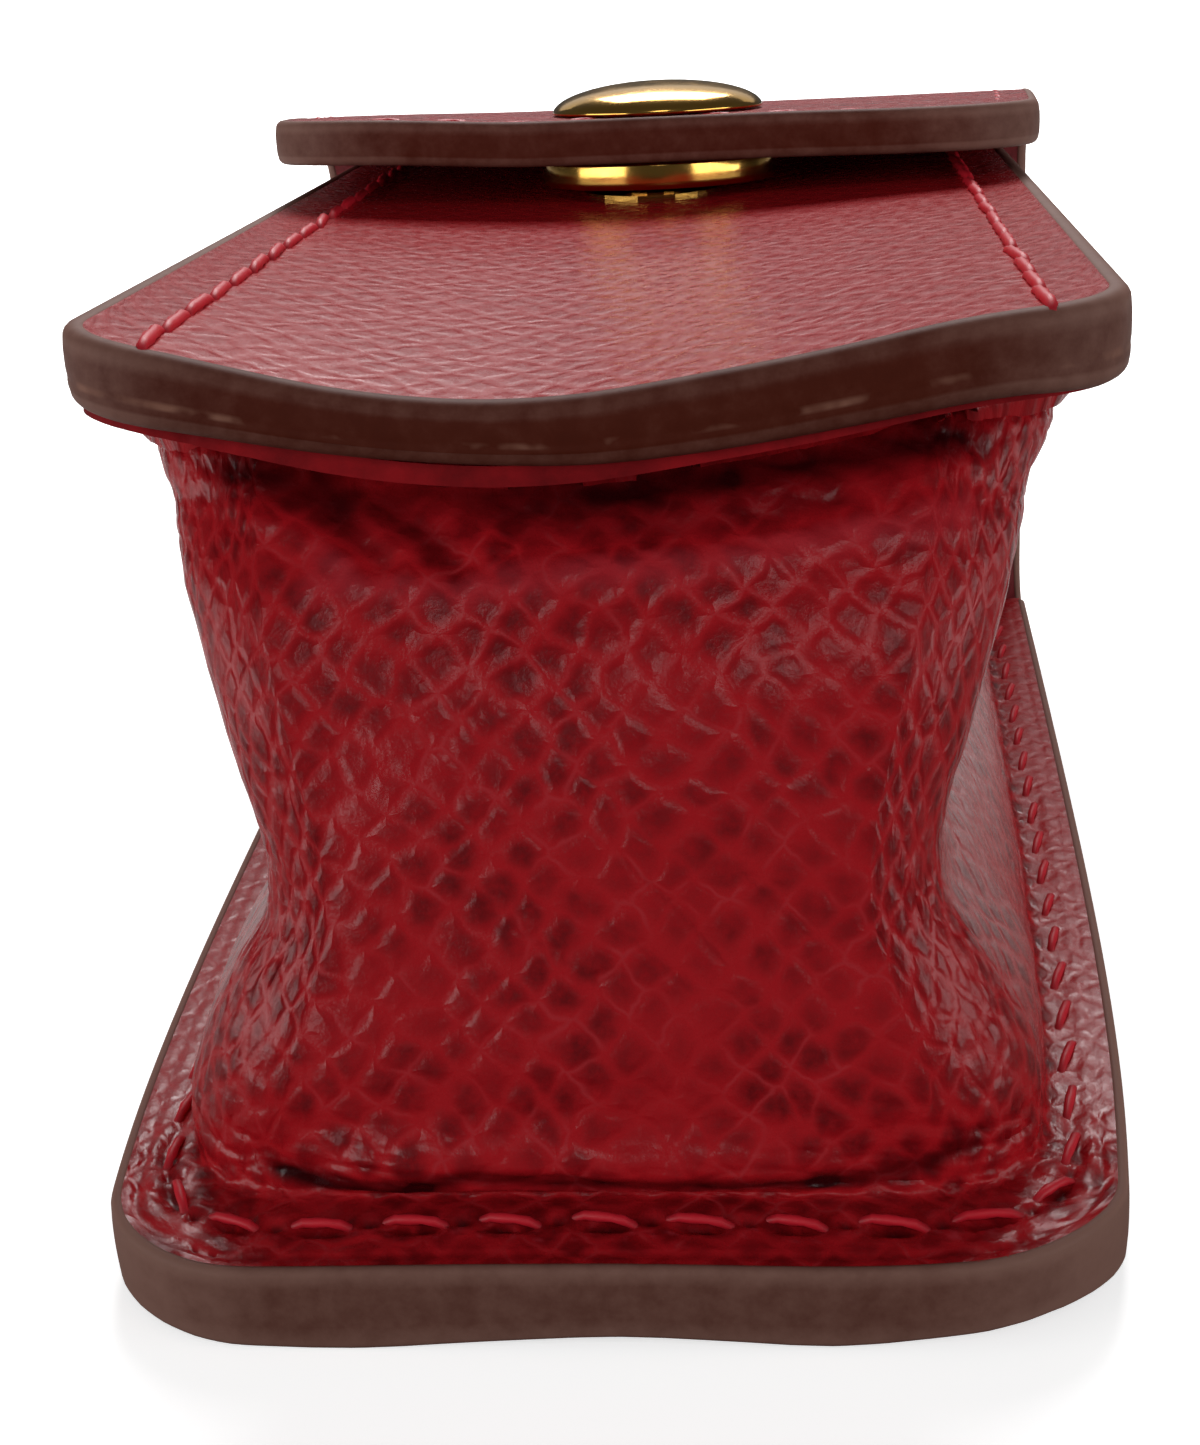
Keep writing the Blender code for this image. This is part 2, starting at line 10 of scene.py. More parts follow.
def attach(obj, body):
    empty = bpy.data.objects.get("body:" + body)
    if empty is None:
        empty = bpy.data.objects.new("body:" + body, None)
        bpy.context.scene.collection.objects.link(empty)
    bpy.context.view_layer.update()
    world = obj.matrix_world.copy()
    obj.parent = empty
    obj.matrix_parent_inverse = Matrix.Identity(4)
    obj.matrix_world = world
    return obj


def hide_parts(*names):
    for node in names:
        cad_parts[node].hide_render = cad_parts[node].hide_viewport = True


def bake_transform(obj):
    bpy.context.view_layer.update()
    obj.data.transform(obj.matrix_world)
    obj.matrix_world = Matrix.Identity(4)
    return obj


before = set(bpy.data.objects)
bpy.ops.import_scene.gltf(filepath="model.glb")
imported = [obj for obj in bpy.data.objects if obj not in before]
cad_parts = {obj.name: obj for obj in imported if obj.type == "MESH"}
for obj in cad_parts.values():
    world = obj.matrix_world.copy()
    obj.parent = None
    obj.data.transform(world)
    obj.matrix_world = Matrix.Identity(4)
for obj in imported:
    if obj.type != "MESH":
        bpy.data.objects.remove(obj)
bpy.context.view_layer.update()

bl_info = {
    "name": "Leather lighter case",
    "version": (1, 0, 0),
    "blender": (4, 5, 0),
    "location": "View3D > Sidebar > Lighter case",
    "description": "Leather, painted edges, stitching and brass finish of a gusseted lighter case",
    "category": "Object",
}

# Lengths below are millimetres, and MM turns them into the frame's metres.
MM = 0.001

# The strip, with the sizes of its solids. The bottom edge is the end towards the camera.
bottom_y = -40.0
mouth_end_y = 40.0
case_depth = 32.9
corner_radius = 5.3
bottom_width = 36.8
mouth_width = 44.2
quick_flare_share = 0.57
quick_flare_reach = 0.16
outer_thickness = 1.2
lining_thickness = 0.8
half_panel = 1.1
panel_thickness = 2.2
leather_trim = 0.3
rear_bend = 3.9
front_bend = 3.4
rear_fold_y = 35.0
cover_y = 38.9
path_step = 0.1

# The front panel, with the sizes of its solids
front_bottom_y = -29.0
front_bottom_width = 39.6
front_mouth_width = 39.9
front_corner_radius = 4.2
front_bow = 0.7
front_curl = 1.95
front_curl_power = 1.6
front_trim = 0.5
front_underside = 30.7
curl_reach = 1.04

# The gusset, with the sizes of its solids. An edge is as thick as a panel with a flange glued on.
gusset_mouth_y = 34.5
gusset_thickness = 0.8
gusset_lining_thickness = 0.5
glue_line = 0.2
edge_thickness = 3.2
back_flange_width = 5.3
side_flange_width = 3.6
front_flange_width = 4.2
back_flange_trim = 0.3
front_flange_trim = 0.6
flange_bend_radius = 0.9
waist_depth = 3.9
gusset_side_start = 11.9
side_crowding = 1.35
foot_corner_radius = 3.4
waist_corner_radius = 2.2
pillow_bulge = 0.6
back_flange_z = 2.8
front_flange_z = 30.1
wall_height_shares = (0.09, 0.18, 0.29, 0.37, 0.44, 0.51, 0.59, 0.69, 0.79, 0.87, 0.93)
wall_waist_shares = (0.06, 0.26, 0.62, 0.92, 1.00, 0.93, 0.74, 0.50, 0.27, 0.12, 0.03)
wall_lean_shares = (0.02, 0.05, 0.09, 0.13, 0.17, 0.21, 0.27, 0.36, 0.51, 0.71, 0.90)

# The flap, with the sizes of its solids
flap_reach = 28.6
flap_tip_y = mouth_end_y - flap_reach
flap_tip_width = 40.0
flap_corner_radius = 4.5
flap_land = 12.0
flap_land_slope = math.radians(3.5)
flap_fold_slope = math.radians(8.0)
flap_stand = 1.8

# The snap. Its cap is drawn taller and fuller than its solid, as the photograph shows it.
snap_inset = 7.0
snap_z = case_depth + flap_stand + half_panel / math.cos(flap_land_slope)
metal_seat = 0.1
cap_radius = 5.7
cap_height = 1.6
cap_wall = 0.4
cap_rim_height = 0.15
cap_rim_rounding = 0.12
cap_dome_height = 1.55
cap_post_radius = 1.4
cap_bore_radius = 0.9
rolled_end_radius = 2.0
rolled_end_thickness = 0.25
socket_radius = 6.4
socket_height = 1.35
socket_plate = 0.35
socket_rounding = 0.4
socket_top_rounding = 0.12
socket_mouth_radius = 2.95
socket_groove_radius = 3.7
socket_lip = 0.2
socket_clearance = 0.15

# How the handled leather departs from the true shape, as pairs of x and height
front_lift = ((-20.0, 0.15), (-16.5, 0.11), (-13.7, -0.23), (-9.5, -0.81), (-6.7, -1.0),
              (-3.3, -1.04), (0.4, -0.76), (4.6, -0.34), (8.8, -0.04), (13.0, 0.33), (15.8, 0.33),
              (18.7, 0.0), (20.0, -0.1))
front_edge_base = ((-20.0, -0.75), (-16.5, -0.7), (-13.7, -0.5), (-9.5, -0.17), (-6.7, -0.05),
                   (-3.3, -0.05), (0.4, -0.31), (4.6, -0.56), (8.8, -0.61), (13.0, -0.76),
                   (15.8, -0.7), (18.7, -1.0), (20.0, -1.0))
flap_lift = ((-21.0, 0.55), (-18.0, 0.62), (-14.0, 0.5), (-10.0, 0.25), (-6.8, 0.05), (6.8, 0.0),
             (12.0, -0.1), (21.0, -0.1))
underside_wave = ((-20.0, 0.15), (-17.0, 0.05), (-13.0, -0.18), (-9.0, -0.3), (-4.5, 0.05),
                  (0.6, 0.34), (5.0, 0.1), (8.4, -0.15), (12.0, 0.3), (16.0, 0.95), (20.0, 0.9))
topside_wave = ((-20.0, 0.0), (-12.5, -0.15), (-5.0, -0.02), (0.6, 0.03), (8.0, -0.1),
                (11.0, -0.05), (15.0, 0.3), (18.0, 0.55), (20.0, 0.55))
corner_softening = ((-1.6, 0.25), (0.0, 0.5), (1.6, 0.25))

# How far those departures and the other lived-in touches reach
wave_reach = 9.0
foot_share = 0.3
flap_lift_end = 3.0
flap_drift = 0.2
cap_drift = 0.35
near_row_bow = 1.0
near_row_half_width = 19.0
near_row_zone = (7.0, -4.0)


def linear(code):
    """An sRGB hex colour as linear numbers."""
    values = [int(code[place:place + 2], 16) / 255 for place in (1, 3, 5)]
    return tuple(v / 12.92 if v <= 0.04045 else ((v + 0.055) / 1.055) ** 2.4 for v in values)


def blend_value(start, end, share):
    return start + (end - start) * share


def ease(share):
    share = np.clip(share, 0.0, 1.0)
    return share * share * (3.0 - 2.0 * share)


def ramp(value, start, run):
    """Rises gently from 0 at start to 1 a run further on. A negative run goes downwards."""
    return ease((value - start) / run)


def belt(value, middle, half_width):
    """A soft bump of height 1 about a middle."""
    return np.exp(-((value - middle) / half_width) ** 2)


def along_pairs(pairs, x):
    """The value at x of a line through pairs, with its corners softened."""
    places, values = zip(*pairs)
    return sum(share * np.interp(x + reach, places, values) for reach, share in corner_softening)


# Sizes and colours that a user may change

def length_property(name, description, millimetres):
    return bpy.props.FloatProperty(name=name, description=description, default=millimetres * MM,
                                   unit="LENGTH", subtype="DISTANCE", precision=5)


def colour_property(name, description, code):
    return bpy.props.FloatVectorProperty(name=name, description=description,
                                         default=linear(code), subtype="COLOR", size=3)


class CaseSizes(bpy.types.PropertyGroup):
    """Sizes of the handwork, which a user may change without changing the case."""
    grain_width: length_property(
        "Grain width", "Width of one cell of the embossed grain", 1.45)
    stitch_length: length_property(
        "Stitch length", "Distance from one stitching hole to the next", 3.5)
    thread_width: length_property(
        "Thread width", "Width of the sewing thread", 0.36)
    stitch_inset: length_property(
        "Stitch inset", "From the strip's edge to the middle of its stitching", 2.1)
    front_inset_left: length_property(
        "Left front inset", "From the front panel's left edge to its stitching", 3.8)
    front_inset_right: length_property(
        "Right front inset", "From the front panel's right edge to its stitching", 3.3)
    edge_wrap: length_property(
        "Edge wrap", "How far the edge dressing reaches over the leather's face", 0.15)
    edge_rounding: length_property(
        "Edge rounding", "Radius of the burnished edge's rims", 0.25)


class CaseColours(bpy.types.PropertyGroup):
    """Colours of the leathers, the edge dressing, the thread and the brass."""
    leather: colour_property("Leather", "The grain cells", "#a4151d")
    leather_deep: colour_property("Deep leather", "Darker patches of the leather", "#52040a")
    # Painted shade that darkens the leather in its creases, folds and stitching hollows. The cut
    # edge's fibre also takes this colour as its own darker tone.
    fold_shade_and_cut_edge: colour_property(
        "Folded leather", "Leather down in creases and stitching hollows", "#2c0104")
    # Painted highlight along raised wrinkles and ridges. The real pale fraying beside the stitching
    # also takes this colour.
    ridge_highlight_and_fray: colour_property(
        "Rubbed leather", "Leather along raised wrinkles", "#a8343e")
    leather_line: colour_property(
        "Grain lines", "Paler lines between the grain cells", "#a8343a")
    lining: colour_property("Lining", "Lining leather", "#8a2028")
    edge: colour_property("Edge dressing", "Brown edge dressing", "#3f1409")
    edge_warm: colour_property(
        "Warm edge dressing", "Redder parts of the edge dressing", "#4e1b0c")
    edge_rubbed: colour_property(
        "Rubbed edge", "Edge dressing where handling has rubbed it", "#7e5d53")
    edge_joint: colour_property("Joint line", "Bare leather where the joint shows", "#8a6252")
    thread: colour_property("Thread", "Thread on top of the leather", "#bc1828")
    # Painted shade on the thread where it dips into its holes
    thread_hole_shade: colour_property(
        "Thread in its hole", "Thread where it dips into a hole", "#5a0810")
    brass: colour_property("Brass", "Polished brass", "#d8ac5a")
    brass_deep: colour_property("Dull brass", "Brass in the handling marks", "#b48438")
    table: colour_property("Table", "What the case mirrors of the table it lies on", "#7c7774")
    floor: colour_property("Floor", "Studio floor", "#f4f4f4")


# The strip, along the middle of its thickness

def strip_path():
    """Distance, y, z and heading along the strip, from the bottom edge to the flap's tip."""
    front_turn = math.pi / 2 - flap_fold_slope
    tip_z = snap_z + snap_inset * math.sin(flap_land_slope)
    root_y = cover_y - front_bend + front_bend * math.sin(flap_fold_slope)
    crown_run = root_y - flap_tip_y - flap_land * math.cos(flap_land_slope)
    crown_radius = crown_run / (math.sin(flap_fold_slope) - math.sin(flap_land_slope))
    crown_drop = crown_radius * (math.cos(flap_land_slope) - math.cos(flap_fold_slope))
    root_z = tip_z - flap_land * math.sin(flap_land_slope) - crown_drop
    front_fold_z = root_z - front_bend * math.cos(flap_fold_slope)
    runs = (
        (rear_fold_y - bottom_y, None),
        (rear_bend * math.pi / 2, rear_bend),
        (front_fold_z - half_panel - rear_bend, None),
        (front_bend * front_turn, front_bend),
        (crown_radius * (flap_fold_slope - flap_land_slope), crown_radius),
        (flap_land, None),
    )
    rows = [(0.0, bottom_y, half_panel, 0.0)]
    ends = []
    for length, radius in runs:
        distance, y, z, heading = rows[-1]
        steps = max(2, round(length / path_step))
        for step in range(1, steps + 1):
            run = length * step / steps
            if radius is None:
                rows.append((distance + run, y + run * math.cos(heading),
                             z + run * math.sin(heading), heading))
                continue
            turned = heading + run / radius
            rows.append((distance + run,
                         y + radius * (math.sin(turned) - math.sin(heading)),
                         z - radius * (math.cos(turned) - math.cos(heading)), turned))
        ends.append(rows[-1][0])
    return np.array(rows).T, ends


strip_rows, strip_ends = strip_path()
rear_fold_start, cover_start, cover_end, flap_start = strip_ends[:4]
strip_length = strip_ends[-1]
cover_middle = (cover_start + cover_end) / 2


def strip_half_width(distance):
    share = np.clip(distance / rear_fold_start, 0.0, 1.0)
    quick = np.expm1(-share / quick_flare_reach) / math.expm1(-1.0 / quick_flare_reach)
    back = blend_value(bottom_width, mouth_width, blend_value(share, quick, quick_flare_share)) / 2
    flap_share = np.clip((distance - flap_start) / (strip_length - flap_start), 0.0, 1.0)
    return back - flap_share * (mouth_width - flap_tip_width) / 2


def strip_point(x, distance, offset):
    """A point of the strip. Offset is from the middle of its thickness, outward positive."""
    inside = np.clip(distance, 0.0, strip_length)
    y, z, heading = (np.interp(inside, strip_rows[0], row) for row in strip_rows[1:])
    beyond = distance - inside
    y = y + beyond * np.cos(heading) + offset * np.sin(heading)
    z = z + beyond * np.sin(heading) - offset * np.cos(heading)
    through = np.clip((half_panel - offset) / edge_thickness, 0.0, 1.0)
    wave = blend_value(along_pairs(underside_wave, x), along_pairs(topside_wave, x), through)
    z = z + wave * ease(1.0 - distance / wave_reach)
    toward_tip = ease((distance - flap_start) / (strip_length - flap_start - flap_lift_end))
    z = z + along_pairs(flap_lift, x) * toward_tip
    return np.stack([x + flap_drift * toward_tip, y, z], -1)


def flap_point(x, cut, offset):
    """A point of the strip, counted back from the flap's tip."""
    return strip_point(x, strip_length - cut, offset)


def inner_edge_offset(distance):
    """Offset of the inner face at the strip's edge: the gusset's flange on the back, the lining on
    the folds and the cover."""
    beside_gusset = distance < gusset_mouth_y - bottom_y
    return np.where(beside_gusset, half_panel - edge_thickness, -half_panel)


def level_at(height):
    """A face that is at the same height everywhere."""
    return lambda place: np.full(len(place), height)


# The front panel

def front_edge_y(x):
    return front_bottom_y + front_bow * (x / (front_bottom_width / 2)) ** 2


def front_half_width(y):
    share = np.clip((y - front_bottom_y) / (gusset_mouth_y - front_bottom_y), 0.0, 1.0)
    return blend_value(front_bottom_width, front_mouth_width, share) / 2


def front_rise(x, y):
    """How far the front panel curls up from flat, the lived-in part included."""
    across = np.abs(x) / (front_bottom_width / 2)
    along = (gusset_mouth_y - y) / (gusset_mouth_y - front_bottom_y)
    along = np.clip(along, 0.0, curl_reach)
    return front_curl * across ** front_curl_power * along + along_pairs(front_lift, x) * along ** 2


def front_point(x, y, offset):
    """A point of the front panel. Offset is up from the underside of its lining."""
    return np.stack([x, y, front_underside + offset + front_rise(x, y)], -1)


# The gusset

def gusset_rows():
    """Rows of the gusset's free wall, from the back flange's bend to the front flange's bend.

    Each row holds height share, height offset, inset from the sides, inset from its panel's bottom
    edge, lean share, corner radius and bulge.
    """
    side, corner, bend = side_flange_width, foot_corner_radius, flange_bend_radius
    rows = [(0.0, bend, side, back_flange_width, 0.0, corner, 0.0)]
    for height, waist, lean in zip(wall_height_shares, wall_waist_shares, wall_lean_shares):
        inset = side + waist_depth * waist
        near = blend_value(back_flange_width, front_flange_width, lean)
        turn = blend_value(foot_corner_radius, waist_corner_radius, waist)
        bulge = pillow_bulge * math.sin(math.pi * height)
        rows.append((height, 0.0, inset, near, lean, turn, bulge))
    rows.append((1.0, -bend, side, front_flange_width, 1.0, corner, 0.0))
    return np.array(rows)


gusset_table = gusset_rows()
wall_rows = len(gusset_table) - 1


def gusset_wall(position):
    """The free wall's rows, joined smoothly and upright at both ends."""
    first_row, last_row = gusset_table[0], gusset_table[-1]
    below, above = gusset_table[1].copy(), gusset_table[-2].copy()
    below[:2] = 2 * first_row[:2] - below[:2]
    above[:2] = 2 * last_row[:2] - above[:2]
    table = np.vstack([below, gusset_table, above])
    index = np.clip(np.floor(position).astype(int), 0, wall_rows - 1)
    share = (position - index)[:, None]
    before, first, second, after = (table[index + step] for step in range(4))
    return 0.5 * (2 * first + (second - before) * share
                  + (2 * before - 5 * first + 4 * second - after) * share ** 2
                  + (3 * first - before - 3 * second + after) * share ** 3)


def gusset_profile(position):
    """The gusset's section. 0 to 1 is the back flange, 1 to 2 its bend, 2 to 3 the free wall,
    3 to 4 the front flange's bend and 4 to 5 the front flange."""
    values = gusset_wall(np.clip(position - 2.0, 0.0, 1.0) * wall_rows)
    for sign, place, panel_corner in ((1, position, corner_radius),
                                      (-1, 5.0 - position, front_corner_radius)):
        end = gusset_table[0] if sign > 0 else gusset_table[-1]
        bend = flange_bend_radius
        turn = np.clip(place - 1.0, 0.0, 1.0) * math.pi / 2
        bent = np.tile(end, (len(position), 1))
        bent[:, 1] = sign * bend * (1 - np.cos(turn))
        for inset in (2, 3):
            bent[:, inset] = end[inset] - bend + bend * np.sin(turn)
        bent[:, 5] = end[5] + bend - bend * np.sin(turn)
        flat = np.clip(place, 0.0, 1.0)
        trim = back_flange_trim if sign > 0 else front_flange_trim
        for inset in (2, 3):
            bent[:, inset] = blend_value(trim, bent[:, inset], flat)
        bent[:, 5] = blend_value(panel_corner - trim, bent[:, 5], flat)
        values = np.where((place < 2.0)[:, None], bent, values)
    return values.T


def gusset_stations(side_steps, corner_steps, near_steps):
    """Stations round the gusset from its right mouth to its left mouth.

    Each is a part number and a share: 0 is a side, 1 a corner and 2 the near face. Its sign is the
    side of the case that it is on.
    """
    side = [(0, 1 - (1 - step / side_steps) ** side_crowding, 1) for step in range(side_steps)]
    corner = [(1, step / corner_steps, 1) for step in range(corner_steps)]
    near = [(2, step / near_steps, 1) for step in range(near_steps)]
    left = [(*station[:2], -1) for station in reversed(side + corner)]
    return np.array(side + corner + near + [(1, 1.0, -1)] + left).T


def gusset_point(stations, column, position):
    part, share, sign = stations[:, column.astype(int)]
    height, lift, side, near, lean, corner, bulge = gusset_profile(position)
    near_y = blend_value(bottom_y, front_bottom_y, lean) + near
    corner_y = near_y + corner

    def half_width(y):
        back = strip_half_width(y - bottom_y)
        return blend_value(back, front_half_width(y), height) - side

    end_half = half_width(near_y)
    inner = end_half - corner
    side_y = blend_value(gusset_mouth_y, corner_y, share)
    angle = math.pi / 2 * share
    turn_y = corner_y - corner * np.sin(angle)
    turn_x = (inner + corner * np.cos(angle)) * half_width(turn_y) / end_half
    across = 1 - 2 * share
    x = np.select([part == 0, part == 1], [half_width(side_y), turn_x], inner * across)
    bowed = lean * (front_edge_y(x) - front_bottom_y)
    y = np.select([part == 0, part == 1], [side_y, turn_y + bowed * np.sin(angle)],
                  near_y - bulge * (1 - across * across) + bowed)
    x = np.where(part == 2, x, x * sign)
    z = blend_value(back_flange_z, front_flange_z, height) + lift + front_rise(x, y) * height
    foot = ease(1.0 - (y - bottom_y) / wave_reach) * ease(1.0 - height / foot_share)
    return np.stack([x, y, z + along_pairs(topside_wave, x) * foot], -1)


def gusset_across(stations, column, points):
    """Flat length round the gusset. Its sides all count from one line and its corners make up
    the difference between the rows, as gathered leather does."""
    part, share, sign = stations[:, column]
    x, y = np.abs(points[:, 0]), points[:, 1]
    side = gusset_side_start + y - bottom_y
    gathered = blend_value(side, x, share)
    across = np.select([part == 0, part == 1], [side, gathered], x)
    return across * np.where(part == 2, np.sign(points[:, 0]), sign)


# Strokes of the handled gusset's near face: points as x and height, half width, and depth. A
# negative depth is pressed in.
gusset_strokes = (
    (((-13.5, 28.9), (-10.9, 28.3), (-9.2, 27.4), (-7.7, 26.2)), 0.6, -0.2),
    (((-12.5, 27.6), (-10.2, 26.9), (-9.0, 26.0)), 0.45, 0.14),
    (((-10.2, 28.8), (-8.6, 28.1), (-6.6, 27.1), (-5.0, 25.9)), 0.55, -0.17),
    (((-8.6, 27.4), (-6.9, 26.3)), 0.45, 0.16),
    (((-4.6, 27.5), (-0.9, 27.7), (2.1, 28.0), (5.0, 28.4)), 0.5, -0.2),
    (((-3.0, 26.9), (1.5, 26.9), (6.0, 27.2), (9.0, 27.8)), 0.5, -0.2),
    (((5.5, 28.3), (9.5, 28.9), (13.5, 29.3)), 0.5, -0.16),
    (((-10.3, 25.6), (-4.7, 25.2), (-0.7, 25.6), (4.3, 25.9), (9.1, 26.7), (13.7, 27.3)),
     0.7, 0.22),
    (((-3.9, 14.4), (-1.8, 13.1), (0.2, 11.6)), 0.17, -0.12),
    (((-4.3, 12.6), (-2.4, 10.7)), 0.16, -0.11),
    (((-5.9, 10.5), (-3.0, 9.0)), 0.16, -0.1),
    (((1.1, 16.3), (3.0, 14.4), (4.7, 12.4)), 0.16, -0.11),
    (((-0.9, 15.1), (1.4, 13.3), (3.5, 11.4)), 0.16, -0.11),
    (((5.2, 15.9), (7.8, 13.3)), 0.16, -0.1),
    (((-5.6, 19.6), (-4.2, 20.7), (-2.7, 21.7)), 0.13, 0.1),
    (((-4.8, 18.2), (-2.6, 19.5)), 0.12, 0.08),
    (((-8.2, 20.0), (-7.3, 21.3), (-6.3, 22.1)), 0.12, 0.08),
    (((-6.5, 20.1), (-5.9, 22.1)), 0.12, 0.09),
    (((-13.2, 4.7), (-12.2, 4.1), (-10.9, 3.7), (-8.6, 3.6), (-7.0, 3.8)), 0.45, -0.08),
    (((-7.0, 3.9), (-5.0, 4.5), (-2.5, 4.1), (1.0, 4.1), (5.0, 3.9), (8.5, 3.7)), 0.35, -0.14),
    (((8.0, 3.7), (10.0, 4.0), (12.0, 4.5), (13.6, 5.3)), 0.45, -0.08),
)

# Strokes of painted shade that darken the near face without pressing it in, along the foot's crease
# and under the front panel's lip
painted_shade_strokes = (
    (((-12.4, 4.2), (-10.6, 3.8), (-8.4, 3.7), (-7.0, 3.9)), 0.55, -0.42),
    (((-7.0, 4.0), (-5.0, 4.6), (-2.0, 4.2), (3.0, 4.1), (8.0, 3.8)), 0.5, -0.24),
    (((8.0, 3.8), (10.0, 4.1), (12.0, 4.6), (13.4, 5.3)), 0.55, -0.3),
    (((-14.0, 29.0), (-9.6, 27.9), (-6.2, 26.3)), 1.0, -0.22),
    (((-6.0, 28.6), (0.0, 28.2), (7.0, 28.6), (14.0, 29.4)), 1.1, -0.3),
)


def stroke_field(x, z, strokes):
    """Sum of strokes at points of the near face, as heights in millimetres."""
    field = np.zeros(len(x))
    for path, half_width, depth in strokes:
        nearest = np.full(len(x), np.inf)
        for (x0, z0), (x1, z1) in zip(path, path[1:]):
            run_x, run_z = x1 - x0, z1 - z0
            share = ((x - x0) * run_x + (z - z0) * run_z) / (run_x ** 2 + run_z ** 2)
            share = np.clip(share, 0.0, 1.0)
            nearest = np.minimum(nearest, np.hypot(x - x0 - share * run_x, z - z0 - share * run_z))
        field += depth * belt(nearest, 0.0, half_width)
    return field


# The handled gusset. A zone is where a shape begins and the run over which it sets in, and a belt
# is a shape's middle and half width. The wall, neck and flange zones go by the section's position,
# the fan zones and the waist belt by the share of the height, and the others are millimetres of x
# from the middle, of y, of z or from the panel's edge. Lumps, ripples, waves and fraying are a size
# and a seed of noise. Unevenness, crumples and grain have a size, a seed and a height for each.
wall_start_zone = (1.4, 0.5)
wall_end_zone = (3.9, -0.5)
neck_zone = (3.6, -0.5)
flange_zone = (1.05, -0.125)
near_face_zone = (-20.5, -3.0)

# The near face's pillow and the roll of its foot over the flange, fuller on the left
pillow_belt = (8.0, 2.8)
pillow_height = 0.45
lumps = (5.0, 10)
lump_height = 0.25
lump_zone = (9.0, -4.0)
foot_belt = (4.6, 1.5)
foot_roll = 0.85
left_foot_roll = 0.45
left_foot_zone = (-4.0, -4.0)
right_foot_loss = 0.7
right_foot_zone = (3.0, 8.0)
foot_end_zone = (6.5, 6.5)
wall_unevenness = ((3.6, 1, 0.12), (1.5, 2, 0.04))
neck_flare = 0.75
neck_flare_zones = ((27.6, 2.0), (10.0, 4.0), (-18.0, -4.0))

# Wrinkles that run across the foot and the neck, and the crumpled shoulder
ripple_stretch = (0.28, 0.28, 1.0)
ripple_slant = 0.06
broad_ripples = (1.1, 3)
fine_ripples = (0.55, 4)
fine_ripple_share = 0.5
foot_ripples = 0.07
foot_ripple_zone = (9.0, -4.5)
neck_ripples = 0.045
neck_ripple_zone = (24.2, 1.6)
crumples = ((0.62, 11, 1.0), (0.33, 12, 0.6))
crumple_height = 0.03
crumple_belt = (24.6, 2.4)

# Folds that fan out at the corners, creases at the waist and puckers at the corners' ends
fan_height = 0.06
fan_turns = 30.0
fan_waves = (1.6, 5)
fan_wander = 2.4
fan_stretch = (1, 1, 0.3)
fan_share = 0.9
fan_zones = ((0.0, 0.1), (0.5, -0.08))
waist_crease = 0.08
waist_waves = (0.9, 6)
waist_stretch = (1, 1, 2.2)
waist_belt = (0.45, 0.1)
waist_zones = ((-10.0, -6.0), (9.5, 2.5))
pucker_height = 0.08
pucker_waves = (0.75, 7)
pucker_stretch = (1.2, 1.0, 0.8)
pucker_x = 14.2
pucker_ends = ((3.6, 3.2), (28.9, 3.0))

# The back flange: grain, the line creased along its edge, its stitching and where it is smooth
flange_grain = ((1.1, 8, 0.04), (0.5, 9, 0.02))
flange_inside_zone = (0.9, 0.7)
edge_crease = 0.1
edge_crease_belt = (1.0, 0.16)
worked_zone = (12.0, -12.0)
stitch_belt = (2.3, 0.8)
fraying = (0.42, 13)
fray_start = 0.25
fray_shade = 0.9
smooth_zone = (bottom_y + 6.0, 6.0)
smooth_share = 0.8
front_smooth_share = 0.7

# How noise is moved on for each seed, and how a wave turns into folded leather
seed_steps = (7.1, 3.7, 5.3)
ridge_height = 0.6
crease_depth = 1.6
crease_place = 2.2


def fold(wave):
    """Turns a smooth wave from -1 to 1 into narrow creases between broad rounded ridges."""
    crease = np.abs(1.0 - np.abs(wave) * crease_place).clip(0, 1) ** 3
    return ridge_height - crease_depth * crease


def speckle(points, size, seed):
    """Smooth noise from -1 to 1 at each point, with bumps of about the given size."""
    shift = Vector([seed * step for step in seed_steps])
    return np.array([noise.noise(Vector(point) / size + shift) for point in points])


def speckles(points, bumps):
    """Noise of several sizes together. Each of the bumps is a size, a seed and a height."""
    return sum(speckle(points, size, seed) * height for size, seed, height in bumps)


def gusset_swells(points, position, wall, near_wall):
    """Heights of the gusset's broad shapes."""
    x, y, z = points.T
    swell = belt(z, *pillow_belt) * pillow_height
    swell += speckle(points * (1, 1, 0), *lumps) * lump_height * ramp(z, *lump_zone)
    roll = foot_roll + left_foot_roll * ramp(x, *left_foot_zone)
    roll -= right_foot_loss * ramp(x, *right_foot_zone)
    roll *= 1.0 - ramp(np.abs(x), *foot_end_zone)
    swell += roll * belt(z, *foot_belt)
    neck, outside, ahead = neck_flare_zones
    flare = ramp(z, *neck) * ramp(np.abs(x), *outside) * ramp(y, *ahead)
    flare *= neck_flare * ramp(position, *neck_zone)
    return swell * near_wall + speckles(points, wall_unevenness) * wall + flare


